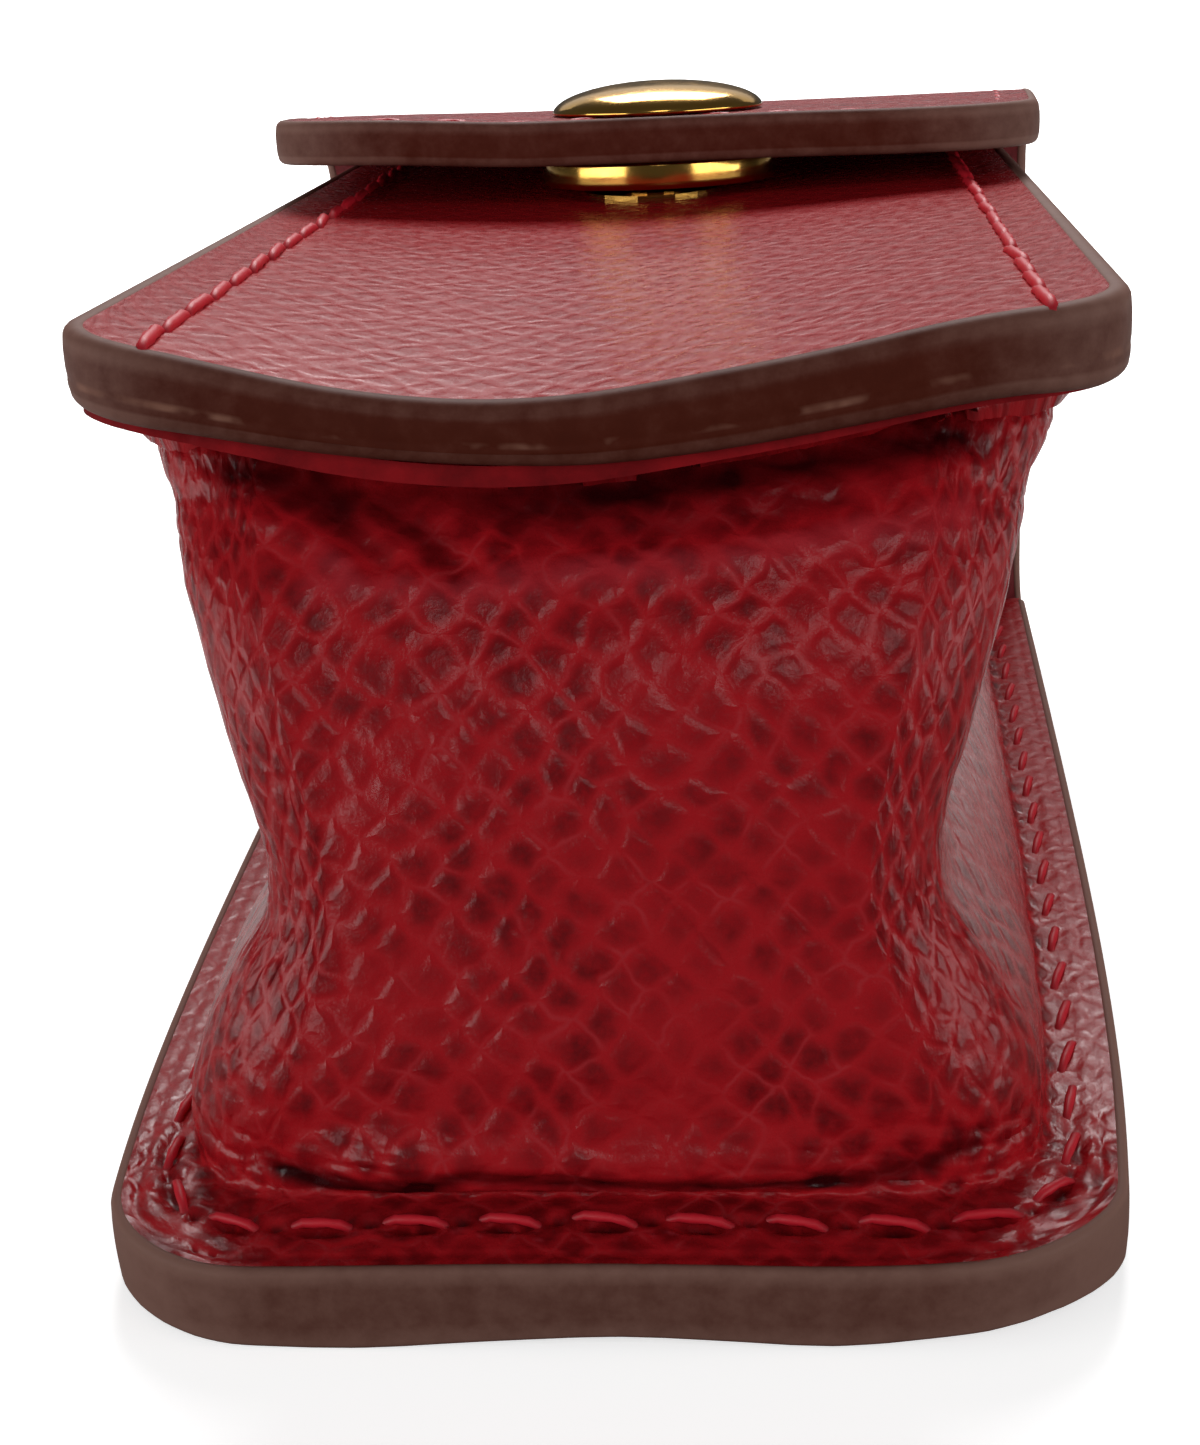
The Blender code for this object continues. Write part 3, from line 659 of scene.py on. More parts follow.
def gusset_wrinkles(points, part, share, sign, wall, facing):
    """Heights of the wrinkles, folds and creases of the gusset's free wall."""
    x, y, z = points.T
    slanted = np.stack([z * 0, z * 0, ripple_slant * x], -1)
    flat_points = points * ripple_stretch + slanted
    ripples = fold(speckle(flat_points, *broad_ripples))
    ripples += fine_ripple_share * fold(speckle(flat_points, *fine_ripples))
    low, high = ramp(z, *foot_ripple_zone) * wall, ramp(z, *neck_ripple_zone) * wall
    relief = stroke_field(x, z, gusset_strokes) * facing * wall
    relief += ripples * (foot_ripples * low + neck_ripples * high)
    relief += speckles(points, crumples) * crumple_height * belt(z, *crumple_belt) * facing
    height = (z - back_flange_z) / (front_flange_z - back_flange_z)
    within = np.clip(share * fan_share + (1 - fan_share) / 2, 0, 1)
    corner = np.where(part == 1, np.sin(math.pi * within), 0.0)
    wander = fan_wander * speckle(points * fan_stretch, *fan_waves)
    fan = fan_height * fold(np.sin(share * fan_turns + wander + sign)) * corner * wall
    relief += fan * ramp(height, *fan_zones[0]) * ramp(height, *fan_zones[1])
    creases = waist_crease * fold(speckle(points * waist_stretch, *waist_waves)) * wall
    creases *= belt(height, *waist_belt) * ramp(y, *waist_zones[0])
    relief += creases * ramp(np.abs(x), *waist_zones[1])
    puckers = pucker_height * fold(speckle(points * pucker_stretch, *pucker_waves))
    for end_z, reach in pucker_ends:
        corner_gap = np.hypot(np.abs(x) - pucker_x, z - end_z)
        relief += puckers * ease(1.0 - corner_gap / reach) * facing
    return relief


def gusset_relief(points, stations, column, position):
    """Heights of the gusset's broad swells, heights of its creases, wrinkles and stitching hollows,
    how much painted shade darkens it and real fraying beside the stitching pales it besides, and
    how smooth its grain lies."""
    x, y, z = points.T
    part, share, sign = stations[:, column]
    wall = ramp(position, *wall_start_zone) * ramp(position, *wall_end_zone)
    facing = ramp(y, *near_face_zone)
    broad = gusset_swells(points, position, wall, facing * wall)
    relief = gusset_wrinkles(points, part, share, sign, wall, facing)
    flange = ramp(position, *flange_zone)
    gap = outline_gap(x, y)
    inside = flange * ramp(gap, *flange_inside_zone)
    worked = ramp(y, *worked_zone)
    relief += inside * speckles(points, flange_grain)
    relief -= flange * edge_crease * belt(gap, *edge_crease_belt)
    relief += inside * worked * stitch_hollows(x, y)
    frayed = (speckle(points * (1, 1, 0), *fraying) - fray_start).clip(0, 1)
    near_row = belt(gap, *stitch_belt) * flange * worked
    # Painted shade from the shade strokes, plus the real fraying that pales the leather beside the
    # stitching
    shade = stroke_field(x, z, painted_shade_strokes) * facing * wall + frayed * near_row * fray_shade
    smooth = flange * ramp(y, *smooth_zone) * smooth_share
    return broad, relief * (1 - smooth), shade, smooth


def outline_gap(x, y):
    """How far points of the back panel are from its edge."""
    side = strip_half_width(y - bottom_y) - np.abs(x)
    near = y - bottom_y
    corner = np.hypot(corner_radius - np.minimum(side, corner_radius),
                      corner_radius - np.minimum(near, corner_radius))
    return np.where((side < corner_radius) & (near < corner_radius), corner_radius - corner,
                    np.minimum(side, near))


# Hollows of the pressed leather about a stitch: a trough beside its line, a pit at its hole and a
# rim round that
hollow_reach = 6.0
trough_depth = 0.3
trough_aside = 0.3
trough_half_width = 0.36
trough_length_share = 0.3
pit_depth = 0.3
pit_radius = 0.3
pit_rim_height = 0.1
pit_rim_aside = 0.6
pit_rim_half_width = 0.4
pit_rim_half_length = 0.6


def stitch_hollows(x, y):
    """Hollows that the back's stitches press into the gusset's flange."""
    hole_x, hole_along = back_holes()
    hole_y = hole_along + bottom_y
    hollow = np.zeros(len(x))
    for first_x, first_y, next_x, next_y in zip(hole_x, hole_y, hole_x[1:], hole_y[1:]):
        close = (np.abs(x - first_x) < hollow_reach) & (np.abs(y - first_y) < hollow_reach)
        if not close.any():
            continue
        run_x, run_y = next_x - first_x, next_y - first_y
        length = math.hypot(run_x, run_y)
        along = ((x[close] - first_x) * run_x + (y[close] - first_y) * run_y) / length
        aside = ((x[close] - first_x) * run_y - (y[close] - first_y) * run_x) / length
        middle = (along - length / 2) / (trough_length_share * length)
        off_line = (aside - trough_aside) / trough_half_width
        hollow[close] -= trough_depth * np.exp(-middle ** 4 - off_line ** 2)
        hollow[close] -= pit_depth * belt(np.hypot(along, aside), 0.0, pit_radius)
        on_rim = (np.abs(aside) - pit_rim_aside) / pit_rim_half_width
        rim = np.exp(-(along / pit_rim_half_length) ** 2 - on_rim ** 2)
        hollow[close] += pit_rim_height * rim
    return hollow


# Making pieces

leather_smoothing = math.radians(45)
edge_smoothing = math.radians(50)
brass_smoothing = math.radians(38)


def deselect_all():
    if bpy.context.object is not None and bpy.context.object.mode != "OBJECT":
        bpy.ops.object.mode_set(mode="OBJECT")
    bpy.ops.object.select_all(action="DESELECT")


def activate(piece):
    deselect_all()
    piece.select_set(True)
    bpy.context.view_layer.objects.active = piece


def take_new(name):
    """The object that an operator has just made, with its name."""
    piece = bpy.context.object
    piece.name = name
    piece.data.name = name
    return piece


def edit_all(piece, *steps):
    """Runs edit mode operators in turn, each on the whole piece."""
    activate(piece)
    bpy.ops.object.mode_set(mode="EDIT")
    for operator, settings in steps:
        bpy.ops.mesh.select_all(action="SELECT")
        operator(**settings)
    bpy.ops.object.mode_set(mode="OBJECT")


def read_points(piece):
    points = np.empty(len(piece.data.vertices) * 3)
    piece.data.vertices.foreach_get("co", points)
    return points.reshape(-1, 3)


def write_points(piece, points):
    piece.data.vertices.foreach_set("co", points.ravel())
    piece.data.update()


def read_normals(piece):
    normals = np.empty(len(piece.data.vertices) * 3)
    piece.data.vertex_normals.foreach_get("vector", normals)
    return normals.reshape(-1, 3)


def write_attribute(piece, name, values):
    """Gives each point of a piece a number that its finish reads."""
    held = piece.data.attributes.new(name, "FLOAT", "POINT")
    held.data.foreach_set("value", values.astype(np.float32))


def flat_lengths(points, rows, columns):
    """Distances run along the columns and along the rows of a grid, from the grid's middle."""
    grid = points.reshape(rows, columns, 3)
    across = np.linalg.norm(np.diff(grid, axis=1), axis=2)
    along = np.linalg.norm(np.diff(grid, axis=0), axis=2)
    across = np.concatenate([np.zeros((rows, 1)), np.cumsum(across, 1)], 1)
    along = np.concatenate([np.zeros((1, columns)), np.cumsum(along, 0)], 0)
    middle = columns // 2
    across = across - across[:, middle:middle + 1]
    return np.stack([across.ravel(), along.ravel()], -1)


def grid_piece(name, columns, rows, place, outward, across=None):
    """A grid primitive whose points are moved onto a surface, with its flat lengths as UV map.

    Columns and rows are the values at which place is read. Outward is a rough direction for the
    face in the middle of the grid. Across gives the flat length along a row where the rows' own
    lengths would shear the pattern.
    """
    deselect_all()
    bpy.ops.mesh.primitive_grid_add(x_subdivisions=len(columns) - 1,
                                    y_subdivisions=len(rows) - 1, size=2.0)
    piece = take_new(name)
    start = read_points(piece)
    column = np.rint((start[:, 0] + 1) / 2 * (len(columns) - 1)).astype(int)
    row = np.rint((start[:, 1] + 1) / 2 * (len(rows) - 1)).astype(int)
    points = place(np.asarray(columns, float)[column], np.asarray(rows, float)[row])
    write_points(piece, points * MM)
    order = np.lexsort((column, row))
    flat = np.empty((len(points), 2))
    flat[order] = flat_lengths(points[order], len(rows), len(columns))
    if across is not None:
        flat[:, 0] = across(column, points)
    corner_verts = np.empty(len(piece.data.loops), int)
    piece.data.loops.foreach_get("vertex_index", corner_verts)
    layer = piece.data.uv_layers.active or piece.data.uv_layers.new()
    layer.name = "flat_mm"
    layer.uv.foreach_set("vector", flat[corner_verts].ravel())
    faces = piece.data.polygons
    middle = faces[len(faces) // 2 + (len(columns) - 1) // 2]
    if middle.normal.dot(Vector(outward)) < 0:
        edit_all(piece, (bpy.ops.mesh.flip_normals, {}))
    return piece


def push_out(piece, amount):
    """Moves points along their normals by millimetres, the same for all or one for each."""
    reach = np.reshape(amount, (-1, 1)) * MM
    write_points(piece, read_points(piece) + read_normals(piece) * reach)


def thicken(piece, thickness, face, rim, even=True):
    """Gives a leather its thickness behind the face it was modelled on."""
    for finish in (face, rim):
        piece.data.materials.append(finish_named(finish))
    solid = piece.modifiers.new("Leather", "SOLIDIFY")
    solid.thickness = thickness * MM
    solid.offset = -1.0
    solid.use_even_offset = even
    solid.material_offset_rim = 1
    activate(piece)
    bpy.ops.object.modifier_apply(modifier=solid.name)
    bpy.ops.object.shade_smooth_by_angle(angle=leather_smoothing)
    return piece


# Surface finishes

# How many times the finishes' patterns come round in a millimetre. The leather's pores, the
# thread's fibre and the brass's marks are finer than this, and are drawn as coarse as they need to
# be to show.
grain_drift = 0.3
leather_patches = 0.2
leather_mottle = 1.6
grain_line_wear = 0.45
leather_pores = 4.5
lining_fibre = 2.2
cut_fibre = 0.5
edge_mottle = 0.9
edge_streaks = 0.42
thread_fibre = 3.0
brass_marks = 0.7

# How far the grain's rows wander, in millimetres, how they are turned, and how uneven they are
grain_wander = 1.7
grain_turn = math.radians(43)
grain_unevenness = 0.34


def add_node(tree, kind, links=None, **settings):
    """Adds a node, gives it its settings, and links or fills the sockets that are named.

    Kind is the node's type without ShaderNode before it. A node given for a socket is linked from
    its first output.
    """
    made = tree.nodes.new("ShaderNode" + kind)
    for name, value in settings.items():
        setattr(made, name, value)
    for socket, source in (links or {}).items():
        if isinstance(source, bpy.types.Node):
            source = source.outputs[0]
        if isinstance(source, bpy.types.NodeSocket):
            tree.links.new(source, made.inputs[socket])
        else:
            made.inputs[socket].default_value = source
    return made


def new_finish(name):
    """A material with an empty node tree, and the function that adds nodes to it."""
    finish = bpy.data.materials.new(name)
    finish.use_nodes = True
    finish.node_tree.nodes.clear()
    return finish, partial(add_node, finish.node_tree)


def rgba(colour):
    return (*colour, 1.0)


def grained_calf(colours):
    """Embossed calf leather: soft diamond cells, each dark in its middle, with a net of long paler
    lines between them, and a dressed surface that turns bluish pink where light grazes it."""
    finish, add = new_finish("embossed calf leather")
    flat = add("UVMap", uv_map="flat_mm")
    drift = add("TexNoise", {"Vector": flat, "Scale": grain_drift, "Detail": 3.0},
                noise_dimensions="2D")
    pulled = add("VectorMath", {0: drift.outputs["Color"], 1: (0.5, 0.5, 0.5)},
                 operation="SUBTRACT")
    pulled = add("VectorMath", {0: pulled, 1: (grain_wander,) * 3, 2: flat},
                 operation="MULTIPLY_ADD")
    turned = add("Mapping", {"Vector": pulled, "Rotation": (0.0, 0.0, grain_turn)})
    grain_width = bpy.context.scene.case_sizes.grain_width / MM
    cell = {"Vector": turned, "Scale": 1.0 / grain_width, "Randomness": grain_unevenness}
    cells = add("TexVoronoi", cell, voronoi_dimensions="2D", feature="DISTANCE_TO_EDGE")
    middles = add("TexVoronoi", cell, voronoi_dimensions="2D", feature="F1")
    dome = add("MapRange", {"Value": cells, "From Min": 0.0, "From Max": 0.36},
               interpolation_type="SMOOTHERSTEP")
    spot = add("MapRange", {"Value": middles, "From Min": 0.68, "From Max": 0.08},
               interpolation_type="SMOOTHERSTEP")
    patches = add("TexNoise", {"Vector": flat, "Scale": leather_patches, "Detail": 3.0},
                  noise_dimensions="2D")
    mottle = add("TexNoise", {"Vector": flat, "Scale": leather_mottle, "Detail": 6.0,
                              "Roughness": 0.65}, noise_dimensions="2D")
    spotted = add("MapRange", {"Value": patches, "From Min": 0.3, "From Max": 0.6,
                               "To Min": 0.2, "To Max": 0.8})
    broken = add("MapRange", {"Value": mottle, "From Min": 0.3, "From Max": 0.6,
                              "To Min": 0.55, "To Max": 1.0})
    darkness = add("Math", {0: spot, 1: spotted}, operation="MULTIPLY")
    darkness = add("Math", {0: darkness, 1: broken}, operation="MULTIPLY")
    smoothed = add("Attribute", attribute_name="smoothed").outputs["Fac"]
    kept = add("Math", {0: 1.0, 1: smoothed}, operation="SUBTRACT")
    darkness = add("Math", {0: darkness, 1: kept}, operation="MULTIPLY")
    base = add("Mix", {"Factor": darkness, 6: rgba(colours.leather),
                       7: rgba(colours.leather_deep)}, data_type="RGBA")
    worn = add("TexNoise", {"Vector": pulled, "Scale": grain_line_wear, "Detail": 2.0},
               noise_dimensions="2D")
    thinned = add("MapRange", {"Value": worn, "From Min": 0.48, "From Max": 0.66,
                               "To Min": 0.0, "To Max": 0.42})
    net = add("MapRange", {"Value": cells, "From Min": 0.09, "From Max": 0.0},
              interpolation_type="SMOOTHSTEP")
    net = add("Math", {0: net, 1: thinned}, operation="MULTIPLY")
    net = add("Math", {0: net, 1: kept}, operation="MULTIPLY")
    tint = add("Mix", {"Factor": net, 6: base.outputs[2], 7: rgba(colours.leather_line)},
               data_type="RGBA")
    crease = add("Attribute", attribute_name="crease").outputs["Fac"]
    # Painted shade: the deeper a crease, fold or stitching hollow, and the stronger the painted
    # shade strokes, the more the leather turns to the fold shade colour
    pressed = add("MapRange", {"Value": crease, "From Min": -0.05, "From Max": -0.5})
    tint = add("Mix", {"Factor": pressed, 6: tint.outputs[2], 7: rgba(colours.fold_shade_and_cut_edge)},
               data_type="RGBA")
    # Painted highlight: raised ridges and wrinkles turn paler, and so does the real fraying beside
    # the stitching
    raised = add("MapRange", {"Value": crease, "From Min": 0.05, "From Max": 0.6})
    tint = add("Mix", {"Factor": raised, 6: tint.outputs[2], 7: rgba(colours.ridge_highlight_and_fray)},
               data_type="RGBA")
    pores = add("TexNoise", {"Vector": flat, "Scale": leather_pores, "Detail": 4.0,
                             "Roughness": 0.6}, noise_dimensions="2D")
    lift = add("Math", {0: pores, 1: 0.35, 2: dome}, operation="MULTIPLY_ADD")
    calmed = add("MapRange", {"Value": smoothed, "To Min": 1.0, "To Max": 0.15})
    lift = add("Math", {0: lift, 1: calmed}, operation="MULTIPLY")
    bump = add("Bump", {"Height": lift, "Strength": 0.5, "Distance": 0.1 * MM})
    shine = add("MapRange", {"Value": mottle, "From Min": 0.3, "From Max": 0.7,
                             "To Min": 0.22, "To Max": 0.33})
    shader = add("BsdfPrincipled", {"Base Color": tint.outputs[2], "Roughness": shine,
                                    "IOR": 1.46, "Specular IOR Level": 0.26,
                                    "Normal": bump})
    add("OutputMaterial", {"Surface": shader})
    return finish


def lining_calf(colours):
    """Smooth lining leather, matt, with a faint flesh-side fibre."""
    finish, add = new_finish("lining calf leather")
    flat = add("UVMap", uv_map="flat_mm")
    fibre = add("TexNoise", {"Vector": flat, "Scale": lining_fibre, "Detail": 4.0,
                             "Roughness": 0.6}, noise_dimensions="2D")
    tint = add("Mix", {"Factor": fibre, 6: rgba(colours.lining), 7: rgba(colours.leather_deep)},
               data_type="RGBA")
    bump = add("Bump", {"Height": fibre, "Strength": 0.4, "Distance": 0.05 * MM})
    shader = add("BsdfPrincipled", {"Base Color": tint.outputs[2], "Roughness": 0.68, "IOR": 1.5,
                                    "Normal": bump})
    add("OutputMaterial", {"Surface": shader})
    return finish


def cut_leather(colours):
    """Dyed cut edge of the gusset leather: matt and fibrous, darker than its face."""
    finish, add = new_finish("dyed cut leather")
    place = add("TexCoord").outputs["Object"]
    fibre = add("TexNoise", {"Vector": place, "Scale": cut_fibre / MM, "Detail": 5.0,
                             "Roughness": 0.6})
    tint = add("Mix", {"Factor": fibre, 6: rgba(colours.fold_shade_and_cut_edge), 7: rgba(colours.leather)},
               data_type="RGBA")
    bump = add("Bump", {"Height": fibre, "Strength": 0.6, "Distance": 0.12 * MM})
    shader = add("BsdfPrincipled", {"Base Color": tint.outputs[2], "Roughness": 0.7,
                                    "Specular IOR Level": 0.1, "Normal": bump})
    add("OutputMaterial", {"Surface": shader})
    return finish


def edge_dressing(colours):
    """Edge dressing: brown paint burnished over the stacked leathers, rubbed grey at its rims and
    at the corners, with the joint between the leathers showing as a broken pale line."""
    finish, add = new_finish("burnished edge dressing")
    wear = add("Attribute", attribute_name="rubbed").outputs["Fac"]
    joint = add("Attribute", attribute_name="joint").outputs["Fac"]
    place = add("TexCoord").outputs["Object"]
    mottle = add("TexNoise", {"Vector": place, "Scale": edge_mottle / MM, "Detail": 5.0,
                              "Roughness": 0.65})
    base = add("Mix", {"Factor": mottle, 6: rgba(colours.edge), 7: rgba(colours.edge_warm)},
               data_type="RGBA")
    rough_wear = add("Math", {0: mottle, 1: 0.5, 2: wear}, operation="MULTIPLY_ADD")
    worn = add("MapRange", {"Value": rough_wear, "From Min": 0.25, "From Max": 1.2},
               interpolation_type="SMOOTHSTEP")
    tint = add("Mix", {"Factor": worn, 6: base.outputs[2], 7: rgba(colours.edge_rubbed)},
               data_type="RGBA")
    broken = add("TexNoise", {"Vector": place, "Scale": edge_streaks / MM, "Detail": 3.0})
    streak = add("MapRange", {"Value": broken, "From Min": 0.52, "From Max": 0.66})
    line = add("Math", {0: streak, 1: joint}, operation="MULTIPLY")
    tint = add("Mix", {"Factor": line, 6: tint.outputs[2], 7: rgba(colours.edge_joint)},
               data_type="RGBA")
    bump = add("Bump", {"Height": mottle, "Strength": 0.35, "Distance": 0.05 * MM})
    shader = add("BsdfPrincipled", {"Base Color": tint.outputs[2], "Roughness": 0.62, "IOR": 1.4,
                                    "Specular IOR Level": 0.14, "Normal": bump})
    add("OutputMaterial", {"Surface": shader})
    return finish


def waxed_thread(colours):
    """Waxed linen thread: a tight twist, bright red on top, with painted shade darkening it down in
    its holes.
    """
    finish, add = new_finish("waxed linen thread")
    depth = add("Attribute", attribute_name="depth").outputs["Fac"]
    place = add("TexCoord").outputs["Object"]
    fibre = add("TexNoise", {"Vector": place, "Scale": thread_fibre / MM, "Detail": 3.0})
    # Painted shade: the thread turns towards the darker colour as it dips into its hole
    tint = add("Mix", {"Factor": depth, 6: rgba(colours.thread_hole_shade), 7: rgba(colours.thread)},
               data_type="RGBA")
    bump = add("Bump", {"Height": fibre, "Strength": 0.5, "Distance": 0.04 * MM})
    shader = add("BsdfPrincipled", {"Base Color": tint.outputs[2], "Roughness": 0.5, "IOR": 1.5,
                                    "Specular IOR Level": 0.3, "Normal": bump})
    add("OutputMaterial", {"Surface": shader})
    return finish


def polished_brass(colours):
    """Polished brass, lacquered: warm gold with fine handling marks that break its highlights."""
    finish, add = new_finish("polished brass")
    place = add("TexCoord").outputs["Object"]
    marks = add("TexNoise", {"Vector": place, "Scale": brass_marks / MM, "Detail": 6.0,
                             "Roughness": 0.7})
    tint = add("Mix", {"Factor": marks, 6: rgba(colours.brass), 7: rgba(colours.brass_deep)},
               data_type="RGBA")
    shine = add("MapRange", {"Value": marks, "From Min": 0.3, "From Max": 0.7,
                             "To Min": 0.1, "To Max": 0.2})
    bump = add("Bump", {"Height": marks, "Strength": 0.15, "Distance": 0.03 * MM})
    shader = add("BsdfPrincipled", {"Base Color": tint.outputs[2], "Metallic": 1.0,
                                    "Roughness": shine, "Normal": bump})
    add("OutputMaterial", {"Surface": shader})
    return finish


finish_makers = {
    "leather": grained_calf,
    "lining": lining_calf,
    "cut": cut_leather,
    "edge": edge_dressing,
    "thread": waxed_thread,
    "brass": polished_brass,
}
made_finishes = {}


def finish_named(name):
    if name not in made_finishes:
        made_finishes[name] = finish_makers[name](bpy.context.scene.case_colours)
    return made_finishes[name]


# Outlines and rows of holes

outline_step = 0.5
front_row_starts = 1.0
front_row_ends = 1.5
front_under_inset = 2.2


def corner_columns(half_width, radius, middle_steps, corner_steps=12):
    """Shares of the half width across an end, with how far each is cut back by its corner."""
    angle = np.linspace(0.0, math.pi / 2, corner_steps + 1)
    side = (half_width - radius + radius * np.sin(angle)) / half_width
    cut = radius - radius * np.cos(angle)
    middle = np.linspace(-side[0], side[0], middle_steps + 1)[1:-1]
    shares = np.concatenate([-side[::-1], middle, side])
    cuts = np.concatenate([cut[::-1], np.zeros(len(middle)), cut])
    return shares, cuts


def tongue_outline(half_width, radius, reach, spacing):
    """Shares and cuts round a rounded end, from its left root to its right root."""
    shares, cuts = corner_columns(half_width, radius, round(2 * (half_width - radius) / spacing))
    run = np.linspace(radius, reach, round((reach - radius) / spacing) + 1)[1:]
    shares = np.concatenate([-np.ones(len(run)), shares, np.ones(len(run))])
    cuts = np.concatenate([run[::-1], cuts, run])
    return shares, cuts


def back_outline(spacing):
    """Round the bottom end of the strip, from the middle of the cover and back to it."""
    return tongue_outline(bottom_width / 2, corner_radius, cover_middle, spacing)


def flap_outline(spacing):
    """Round the flap's tip, from the middle of the cover and back to it."""
    return tongue_outline(flap_tip_width / 2, flap_corner_radius, strip_length - cover_middle,
                          spacing)


def flap_half_width(cut):
    return strip_half_width(strip_length - cut)


def outline_normals(x, along):
    """Outward directions of an outline in its own plane, its end at the low side."""
    step_x, step_along = np.gradient(x), np.gradient(along)
    length = np.hypot(step_x, step_along)
    return step_along / length, -step_x / length


def resample(x, along, spacing):
    """The same line with its points at an even spacing."""
    run = np.concatenate([[0.0], np.cumsum(np.hypot(np.diff(x), np.diff(along)))])
    even = np.linspace(0.0, run[-1], max(3, round(run[-1] / spacing) + 1))
    return np.interp(even, run, x), np.interp(even, run, along)


def row_of_holes(outline, width_at):
    """Stitching holes at an even pitch inside an outline given by shares and cuts."""
    sizes = bpy.context.scene.case_sizes
    inset = sizes.stitch_inset / MM
    shares, cuts = outline
    x, along = resample(shares * width_at(cuts), cuts, outline_step / 2)
    normal_x, normal_along = outline_normals(x, along)
    return resample(x - normal_x * inset, along - normal_along * inset, sizes.stitch_length / MM)


def back_holes():
    x, along = row_of_holes(back_outline(outline_step), strip_half_width)
    bowed = 1 - np.abs(x / near_row_half_width) ** 3
    return x, along + near_row_bow * bowed * ramp(along, *near_row_zone)


# Stitching

# How a row's stitches lie: how high they rise, the share of the pitch they reach over, how long
# they stay up before they dip, how far they slant across the row, and how full their thread lies
StitchLook = namedtuple("StitchLook", "lift reach hold slant fullness")
pressed_look = StitchLook(-0.14, 0.75, 2.6, 0.5, 1.0)
near_look = StitchLook(0.13, 0.88, 3.4, -0.62, 1.1)
front_look = StitchLook(0.12, 1.12, 10.0, 0.22, 1.3)
thread_dip = 0.42
strand_relief = 0.16
strand_twist = 15.0
thread_taper = 0.35

# By how much the sewing varies from stitch to stitch
sewing_seed = 7
uneven_tilt = 0.2
uneven_rise = 0.05
uneven_reach = (-0.08, 0.06)


def add_ball():
    bpy.ops.mesh.primitive_uv_sphere_add(segments=8, ring_count=9, radius=1.0)
    return bpy.context.object


def stitch_row(name, rows):
    """Saddle stitches along rows of holes, one stitch modelled and copied from hole to hole.

    Each row holds its holes' two flat coordinates, the function that places a flat point, the
    offset of the face it lies on for each flat point, that face's outward sign, and its look.
    """
    width = bpy.context.scene.case_sizes.thread_width / MM / 2
    deselect_all()
    stitch = add_ball()
    ball = read_points(stitch)
    bpy.data.objects.remove(stitch, do_unlink=True)
    along_share = ball[:, 2] * 0.5
    ring = np.maximum(1e-6, np.hypot(ball[:, 0], ball[:, 1]))
    around = np.arctan2(ball[:, 1], ball[:, 0])
    twist = 1.0 + strand_relief * np.cos(2 * around - strand_twist * along_share)
    radius = width * ring ** thread_taper * twist * (ring > 1e-3)
    rng = np.random.default_rng(sewing_seed)
    copies = []
    for hole_x, hole_along, place, face, sign, look in rows:
        for index in range(len(hole_x) - 1):
            start = np.array([hole_x[index], hole_along[index]])
            run = np.array([hole_x[index + 1], hole_along[index + 1]]) - start
            length = np.hypot(*run)
            ahead = run / length
            aside = np.array([ahead[1], -ahead[0]])
            tilt = look.slant + rng.uniform(-uneven_tilt, uneven_tilt)
            rise = look.lift + rng.uniform(-uneven_rise, uneven_rise)
            share = along_share * (look.reach + rng.uniform(*uneven_reach)) + 0.5
            lateral = radius * look.fullness * np.cos(around) - tilt * (share - 0.5)
            bow = rise - (rise + thread_dip) * np.abs(2 * along_share) ** look.hold
            height = bow + radius * look.fullness * np.sin(around)
            flat = start + np.outer(share * length, ahead) + np.outer(lateral, aside)
            points = place(flat[:, 0], flat[:, 1], face(flat[:, 1]) + sign * height)
            copy = add_ball()
            write_points(copy, points * MM)
            # How far down its dip the thread is. The thread's finish paints it darker there as
            # shade.
            depth = np.clip((bow + thread_dip) / (rise + thread_dip), 0.0, 1.0)
            write_attribute(copy, "depth", depth)
            copies.append(copy)
    deselect_all()
    for copy in copies:
        copy.select_set(True)
    bpy.context.view_layer.objects.active = copies[0]
    bpy.ops.object.join()
    piece = take_new(name)
    bpy.ops.object.origin_set(type="ORIGIN_CURSOR")
    edit_all(piece, (bpy.ops.mesh.normals_make_consistent, {"inside": False}))
    bpy.ops.object.shade_smooth()
    piece.data.materials.clear()
    piece.data.materials.append(finish_named("thread"))
    return piece


# Leather pieces

def strip_sheet(name, ends, layer, finish, rows, middle_steps):
    """One leather of the strip between two distances. An end at the bottom or tip is rounded."""
    start, end = ends
    low, high = layer
    rounded_bottom = start == 0.0
    half, radius = bottom_width / 2, corner_radius
    if not rounded_bottom:
        half, radius = flap_tip_width / 2, flap_corner_radius
    shares, cuts = corner_columns(half - leather_trim, radius - leather_trim, middle_steps)

    def place(column, row):
        share, cut = shares[column.astype(int)], cuts[column.astype(int)]
        if rounded_bottom:
            distance = blend_value(start + leather_trim + cut, end, row)
        else:
            distance = blend_value(start, end - leather_trim - cut, row)
        offset = high if high > 0 else low
        x = share * (strip_half_width(distance) - leather_trim)
        return strip_point(x, distance, np.full(len(row), offset))

    faces_down = rounded_bottom == (high > 0)
    piece = grid_piece(name, np.arange(len(shares)), rows, place, (0, 0, -1 if faces_down else 1))
    return thicken(piece, high - low, finish, "edge")


def spaced(places, counts):
    """Rows from place to place, with a number of steps for each span."""
    spans = zip(places, places[1:], counts)
    rows = [np.linspace(start, end, count + 1)[:-1] for start, end, count in spans]
    return np.concatenate([*rows, [places[-1]]])


# How finely the leathers are divided: steps across an end between its corners, and spans of rows
rear_end_steps = 34
flap_end_steps = 40
front_end_steps = 60
front_row_steps = 70
rear_spans = (0.0, wave_reach, rear_fold_start, cover_start, cover_middle)
rear_span_steps = (15, 29, 16, 7)
flap_spans = (cover_middle, cover_end, flap_start, strip_length)
flap_span_steps = (7, 16, 35)

